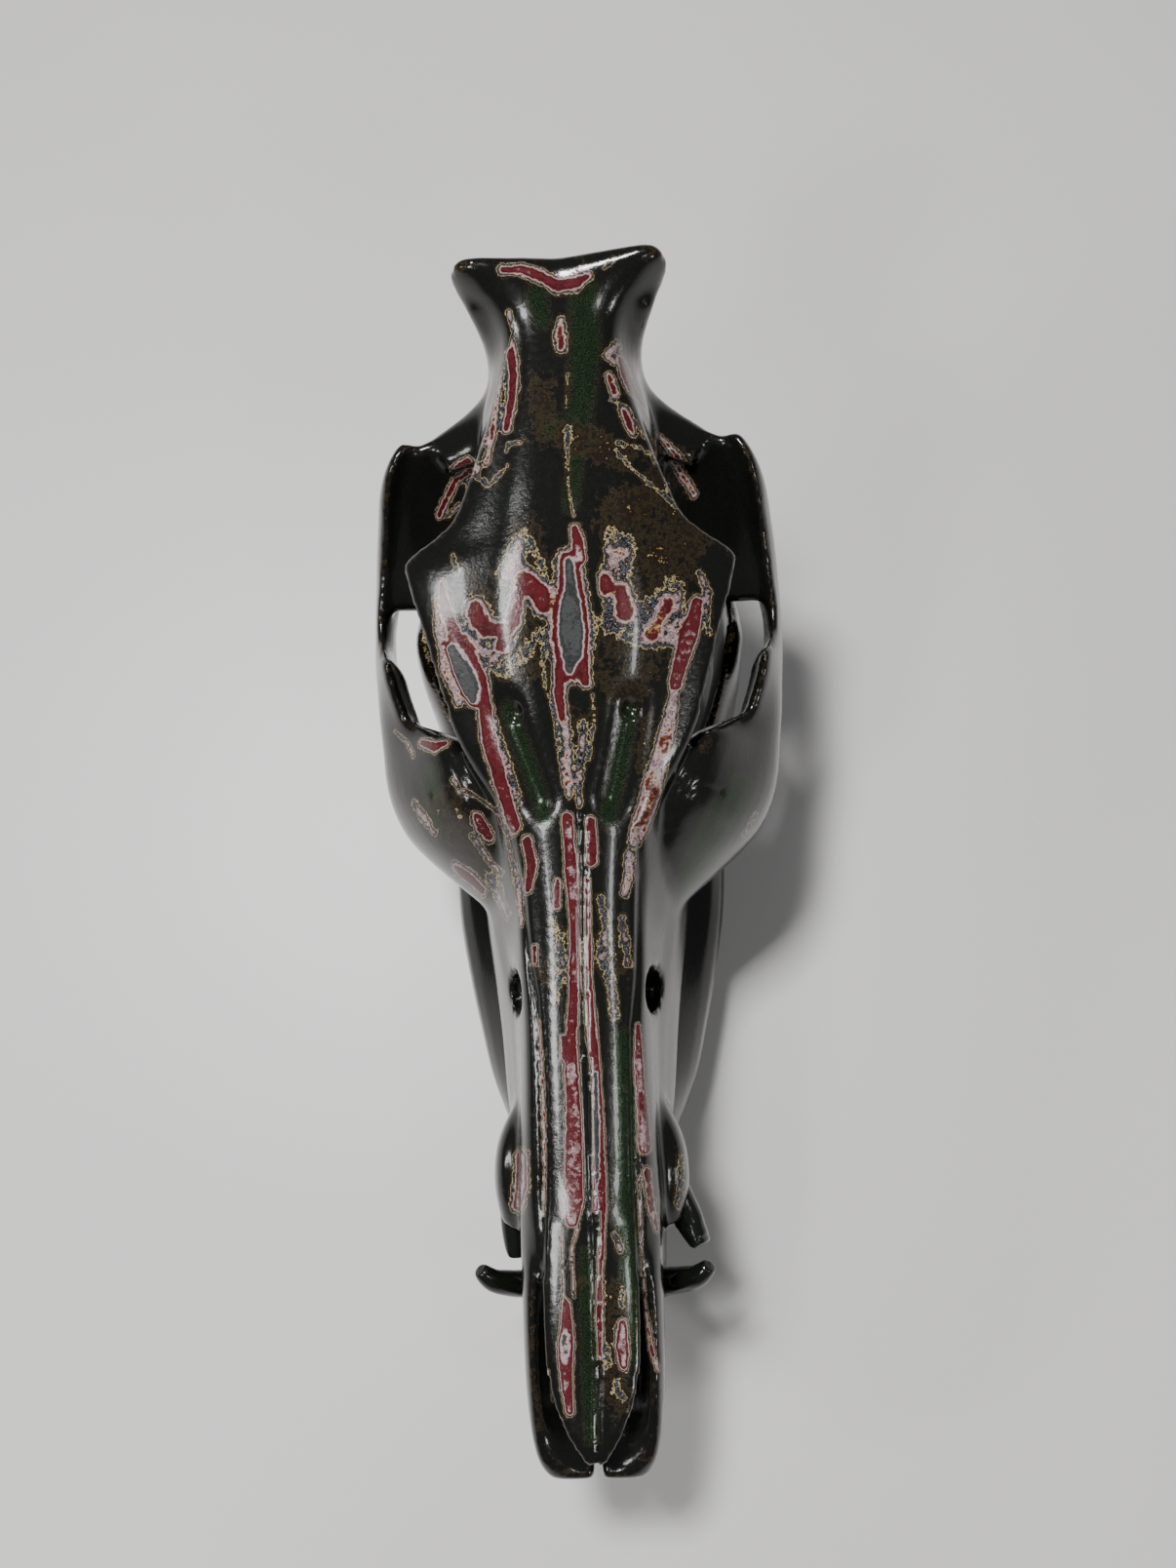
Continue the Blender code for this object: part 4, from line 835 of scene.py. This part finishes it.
GRAIN_SWAY = 0.16
CALM = [(0.2, (0.6,) * 3), (0.33, (0.55,) * 3), (0.42, (1,) * 3), (0.7, (0.4,) * 3)]
MOTTLE = [(0.3, (0.35,) * 3), (0.55, (1,) * 3), (0.7, (1,) * 3)]

# Metal flake lies in the top coat alone: how deep that goes, how sparse the flake is, and its share and metal gloss.
TOP_COAT = 0.33
SPARSE = 0.55
GREEN_SHARE = 0.6
GOLD_SHARE = 0.035
FLAKE_METAL = 0.7

places, normals, ends = vertex_table(skull)
set_layer(skull, "rubbed", rubbing(places, normals)[0] + 0.1 * proud(places, normals, ends))
green = np.zeros(len(places))
for path, fall in GREEN_FIELDS.values():
    green = np.maximum(green, fading(places[:, :2], path, fall))
set_layer(skull, "green", green * open_to_sky(places, normals))
skull.data.materials.append(lacquer("rubbed_lacquer"))
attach(skull, "root")
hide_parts("cranium")


# The lower jaw is two thin bone plates, grown together at the chin, each with an upright branch at its back that
# ends in a knuckle. It is lofted and grown into one skin as the cranium is, and wears the same lacquer.
JAW_HALF = [
    (-154, (8, 66), (13, 64), (12, 58), (7, 53), (-2, 52), (-2, 65)),
    (-141, (11, 67), (17, 64), (16, 53), (9, 43), (-2, 41), (-2, 62)),
    (-126, (14, 68), (20, 63), (19, 45), (11, 28), (-2, 25), (-2, 57)),
    (-111, (17, 69), (22, 62), (21, 38), (13, 15), (-2, 12), (-2, 52)),
    (-96, (18, 64), (22.5, 58), (22, 33), (14, 5), (-2, 4), (-2, 45)),
    (-83, (18, 60), (22.5, 55), (23, 30), (15, 1.5), (1, 3), (4, 42)),
    (-71, (18.5, 57.5), (23.5, 53), (26, 29), (18, 0.3), (9, 6), (12, 41)),
    (-62, (19, 56), (25, 52), (28.5, 29), (20.5, 0), (12, 7), (14, 42)),
    (-45, (20.5, 54.5), (27.5, 50), (35, 30), (25.5, 0), (16.5, 8), (16, 42)),
    (-28, (22, 53.5), (29.5, 49), (39, 31), (29, 0.2), (20, 9), (17.5, 42)),
    (-11, (23.5, 53), (31.5, 48), (42.5, 32), (32, 0.4), (23.5, 10), (19, 42)),
    (9, (25, 52.5), (34, 48), (45.7, 33), (35, 0.6), (27, 10), (20.5, 42)),
    (28, (26.5, 52.5), (37, 49), (47, 33), (37.5, 0.6), (30, 9), (22, 42)),
    (44, (28.5, 53), (40.5, 51), (49, 33), (41, 0.3), (34, 8), (25, 42)),
    (54, (32, 55), (43, 53), (49.7, 32), (43.5, 0), (37, 8), (29, 43)),
    (62, (39, 66), (46, 60), (50, 31), (45, 0), (39.5, 8), (34.5, 48)),
    (70, (43.5, 84), (48.3, 72), (50.3, 31), (46.5, 0.3), (42, 8), (39, 58)),
    (78, (46, 104), (51.3, 88), (50.7, 32), (47.5, 1.3), (43.5, 9), (42, 70)),
    (87, (47, 117), (52.6, 100), (51.2, 34), (48.5, 3), (45, 11), (44, 78)),
    (95, (47.3, 109), (52.3, 98), (51.5, 36), (49.3, 7), (46, 14), (44.3, 78)),
    (103, (47, 103), (51, 94), (51.5, 38), (49.7, 11), (46.5, 18), (44.3, 78)),
    (111, (46.7, 102), (49.2, 92), (51.2, 40), (49.7, 16), (46.5, 24), (44, 78)),
    (118, (46, 97), (48.2, 88), (50.2, 44), (49, 24), (46.3, 32), (43.7, 76)),
    (123, (45.5, 88), (47, 80), (48.5, 50), (48, 34), (46, 40), (44.5, 70)),
]
JAW_KNUCKLE = ((44, 110, 103.5), (9.5, 6.3, 5.6))
JAW_GRID = 1.1
JAW_TRIANGLES = 120000

bm = bmesh.new()
for side in (1, -1):
    loft(bm, plate_rings(JAW_HALF, side))
    (x, y, z), radii = JAW_KNUCKLE
    ball(bm, (side * x, y, z), radii)
jaw = piece_from(bm, "jaw")
grow_skin(jaw, JAW_GRID)
smooth_skin(jaw, times=7)
apply_all(jaw)
thin_to(jaw, JAW_TRIANGLES)
shade_smooth(jaw, SHARP_BONE)
set_layer(jaw, "rubbed", UNTOUCHED + 0.2 * proud(*vertex_table(jaw)))
jaw.data.materials.append(lacquer("rubbed_lacquer_jaw"))
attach(jaw, "root")
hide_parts("lower_jaw")


# The front teeth and tusks are tapering, curved pegs of ivory under the near-black top coat, which is never rubbed.
# Each is a rod along (x, y, z, half width, half depth), from the root in the bone to the tip.
UPPER_FRONT_TEETH = {
    "incisor_1": [
        (9.5, -157, 79, 2.4, 2), (9.3, -163, 75, 3.2, 2.4), (7.8, -166.5, 69.5, 3.6, 2), (6.4, -168, 65.5, 2.6, 1.2),
    ],
    "incisor_2": [(15, -142, 79, 2.2, 2.4), (15.5, -146, 73, 2.8, 2.8), (15, -148.5, 68, 2.6, 2)],
    "incisor_3": [(17, -122, 78, 1.9, 2.2), (17.6, -124, 72.5, 2.3, 2.6), (17.8, -125.5, 69.5, 1.7, 1.8)],
}
LOWER_FRONT_TEETH = {
    "incisor_1": [(3.6, -144, 58.5, 1.5, 1.6), (3.5, -152, 62.5, 1.9, 2), (3.3, -160.5, 68.5, 2.3, 1.2)],
    "incisor_2": [(9.3, -140, 60, 1.5, 1.6), (9.3, -148, 64, 1.9, 2), (9.2, -156, 68.6, 2.2, 1.2)],
    "incisor_3": [(13.8, -130, 62, 1.9, 2), (14.6, -134, 66.5, 2.2, 2.2), (15, -137, 69.3, 1.6, 1.4)],
}
RIGHT_UPPER_TUSK = [
    (23.5, -77, 86, 4.2, 4.2), (27, -87, 80, 5.2, 4.6), (30, -93.5, 77, 5.4, 4.4), (32.4, -98.5, 76.5, 5.2, 3.8),
    (33.6, -101, 76.8, 4.4, 2.6),
]
LEFT_UPPER_TUSK = [
    (23.5, -77, 86, 4.2, 4.2), (24.6, -88, 80, 4.6, 4.2), (24.8, -97, 76.5, 4, 3.6), (24.6, -103, 75, 2.8, 2.4),
]
LOWER_TUSK = [
    (16.5, -117, 54, 3.8, 3.8), (21.5, -113, 62, 4.4, 4.4), (27, -112, 68.5, 4.6, 4.2), (32, -110.8, 73.5, 4.2, 3.6),
    (35.6, -107.8, 77, 2.6, 2.4),
]

# A tip is rounded off by one more, narrower section a little beyond it, as shares of its last stretch and width.
ROUND_TIP = 0.12
TIP_WIDTH = 0.35
SHARP_TOOTH = 50
tooth_coat = lacquer("tooth_lacquer")


def finish_tooth(bm, node):
    """A tooth in its coat, in place of the plainer one of that name."""
    tooth = piece_from(bm, "fine_" + node)
    tooth.data.materials.append(tooth_coat)
    shade_smooth(tooth, SHARP_TOOTH)
    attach(tooth, "root")
    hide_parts(node)


for side, side_name in ((1, "right"), (-1, "left")):
    paths = {f"upper_{name}": path for name, path in UPPER_FRONT_TEETH.items()}
    paths.update({f"lower_{name}": path for name, path in LOWER_FRONT_TEETH.items()})
    paths["upper_canine"] = RIGHT_UPPER_TUSK if side == 1 else LEFT_UPPER_TUSK
    paths["lower_canine"] = LOWER_TUSK
    for name, path in paths.items():
        bm = bmesh.new()
        before, tip = path[-2:]
        end = [tip[k] + (tip[k] - before[k]) * ROUND_TIP for k in range(3)]
        rod(bm, mirrored([*path, (*end, tip[3] * TIP_WIDTH, tip[4] * TIP_WIDTH)], side), steps=8, sides=24)
        finish_tooth(bm, f"{name}_{side_name}")


# The cheek teeth are low crowns with worn cusps, in one close row on each side of both jaws, under the same coat.
# Each is given as x, y, the height of its neck, half width and half length, and its cusps stand in pairs.
UPPER_CHEEK_TEETH = {
    "premolar_1": (21, -59, 68, 2.2, 3.6), "premolar_2": (22, -47, 67.5, 2.8, 5.2),
    "premolar_3": (22.8, -34.5, 67.2, 3.6, 5.8), "premolar_4": (23.6, -22, 67, 4.8, 5.6),
    "molar_1": (24.4, -8.5, 67, 5.2, 6.8), "molar_2": (25.2, 7.5, 67.3, 5.8, 8.2),
    "molar_3": (25.6, 28, 67.8, 5.6, 11.2),
}
LOWER_CHEEK_TEETH = {
    "premolar_1": (18.6, -68, 56.5, 1.9, 3.2), "premolar_2": (20.5, -48, 54.5, 2.3, 5),
    "premolar_3": (21.7, -35, 54, 2.8, 5.6), "premolar_4": (23, -22, 53.5, 3.5, 6),
    "molar_1": (24.3, -8, 53, 4.2, 6.8), "molar_2": (25.6, 8.5, 52.8, 4.6, 8.6),
    "molar_3": (27.2, 31, 52.8, 4.6, 12.5),
}
CROWN_HEIGHT = 6.4
CROWN_SIDES = 40

# A crown's sections, as height over the neck and share of the full width. The cusps start at one height, rise over
# one stretch and lie about one gap apart, and the folds between them pinch the sides in.
CROWN_LEVELS = [
    (-5, 0.7), (-2, 0.78), (0, 0.86), (1.2, 0.95), (2.88, 1), (4.4, 0.97), (5.3, 0.88), (5.8, 0.72), (5.7, 0.5),
    (5.2, 0.28), (4.9, 0.1),
]
CUSP_HEIGHT = 0.6
CUSP_START = 4
CUSP_STRETCH = 1.8
CUSP_GAP = 2.4
PINCH = 0.05

for jaw_name, up, teeth in (("upper", -1, UPPER_CHEEK_TEETH), ("lower", 1, LOWER_CHEEK_TEETH)):
    for name, (x, y, neck, half_width, half_length) in teeth.items():
        for side, side_name in ((1, "right"), (-1, "left")):
            pairs = max(2, round(half_length / CUSP_GAP))
            bm = bmesh.new()
            rings = []
            for height, scale in CROWN_LEVELS:
                ring = []
                for k in range(CROWN_SIDES):
                    turn = 2 * math.pi * k / CROWN_SIDES
                    cusp = CUSP_HEIGHT * max(0, height - CUSP_START) / CUSP_STRETCH * math.cos(pairs * turn)
                    pinch = 1 - PINCH * max(0, height) / CROWN_HEIGHT * (1 - math.cos(2 * pairs * turn))
                    ring.append((side * x + half_width * scale * pinch * math.cos(turn),
                                 y + half_length * scale * pinch * math.sin(turn), neck + up * (height + cusp)))
                rings.append(ring)
            loft(bm, rings)
            finish_tooth(bm, f"{jaw_name}_{name}_{side_name}")


# The table is one smooth pale sheet of painted board. One strong lamp stands high over the back of the head, a little
# to the left, and throws the shadow, and four weak ones around the skull put the glints on the lacquer.
TABLE_SIZE = 6.0
TABLE_DARK = (0.60, 0.585, 0.575, 1)
TABLE_PALE = (0.65, 0.635, 0.62, 1)
bpy.ops.object.select_all(action="DESELECT")
bpy.ops.mesh.primitive_plane_add(size=TABLE_SIZE, location=(0, 0, 0))
table = bpy.context.object
table.name = "table"
top = bpy.data.materials.new("table_top")
top.use_nodes = True
nodes = top.node_tree.nodes
links = top.node_tree.links
paint = nodes["Principled BSDF"]
spot = nodes.new("ShaderNodeTexCoord")
cloud = nodes.new("ShaderNodeTexNoise")
cloud.inputs["Scale"].default_value = 3.5
tone = nodes.new("ShaderNodeValToRGB")
tone.color_ramp.elements[0].color = TABLE_DARK
tone.color_ramp.elements[1].color = TABLE_PALE
pores = nodes.new("ShaderNodeTexNoise")
pores.inputs["Scale"].default_value = 900
relief = nodes.new("ShaderNodeBump")
relief.inputs["Strength"].default_value = 0.05
relief.inputs["Distance"].default_value = 0.0003
links.new(spot.outputs["Object"], cloud.inputs["Vector"])
links.new(spot.outputs["Object"], pores.inputs["Vector"])
links.new(cloud.outputs["Fac"], tone.inputs["Fac"])
links.new(tone.outputs["Color"], paint.inputs["Base Color"])
links.new(pores.outputs["Fac"], relief.inputs["Height"])
links.new(relief.outputs["Normal"], paint.inputs["Normal"])
paint.inputs["Roughness"].default_value = 0.4
table.data.materials.append(top)

# Each lamp's place, width in metres and power in watts. All of them point at the middle of the skull.
LAMPS = {
    "overhead_lamp": ((-0.27, 0.33, 1.60), 0.24, 30.0),
    "left_lamp": ((-0.85, -0.20, 0.72), 0.16, 2.2),
    "front_lamp": ((-0.50, -0.46, 1.12), 0.18, 3.4),
    "snout_right_lamp": ((0.40, -0.50, 1.02), 0.09, 0.7),
    "right_lamp": ((0.85, -0.62, 0.58), 0.15, 1.8),
}
LAMP_TARGET = Vector((0, 0, 0.1))
ROOM_LIGHT = (0.85, 0.87, 0.9, 1)
ROOM_STRENGTH = 0.15
for name, (place, width, power) in LAMPS.items():
    bpy.ops.object.select_all(action="DESELECT")
    bpy.ops.object.light_add(type="AREA", location=place)
    lamp = bpy.context.object
    lamp.name = name
    lamp.data.size = width
    lamp.data.energy = power
    lamp.rotation_euler = (LAMP_TARGET - Vector(place)).to_track_quat("-Z", "Y").to_euler()
world = bpy.data.worlds.new("room")
bpy.context.scene.world = world
world.use_nodes = True
world.node_tree.nodes["Background"].inputs["Color"].default_value = ROOM_LIGHT
world.node_tree.nodes["Background"].inputs["Strength"].default_value = ROOM_STRENGTH
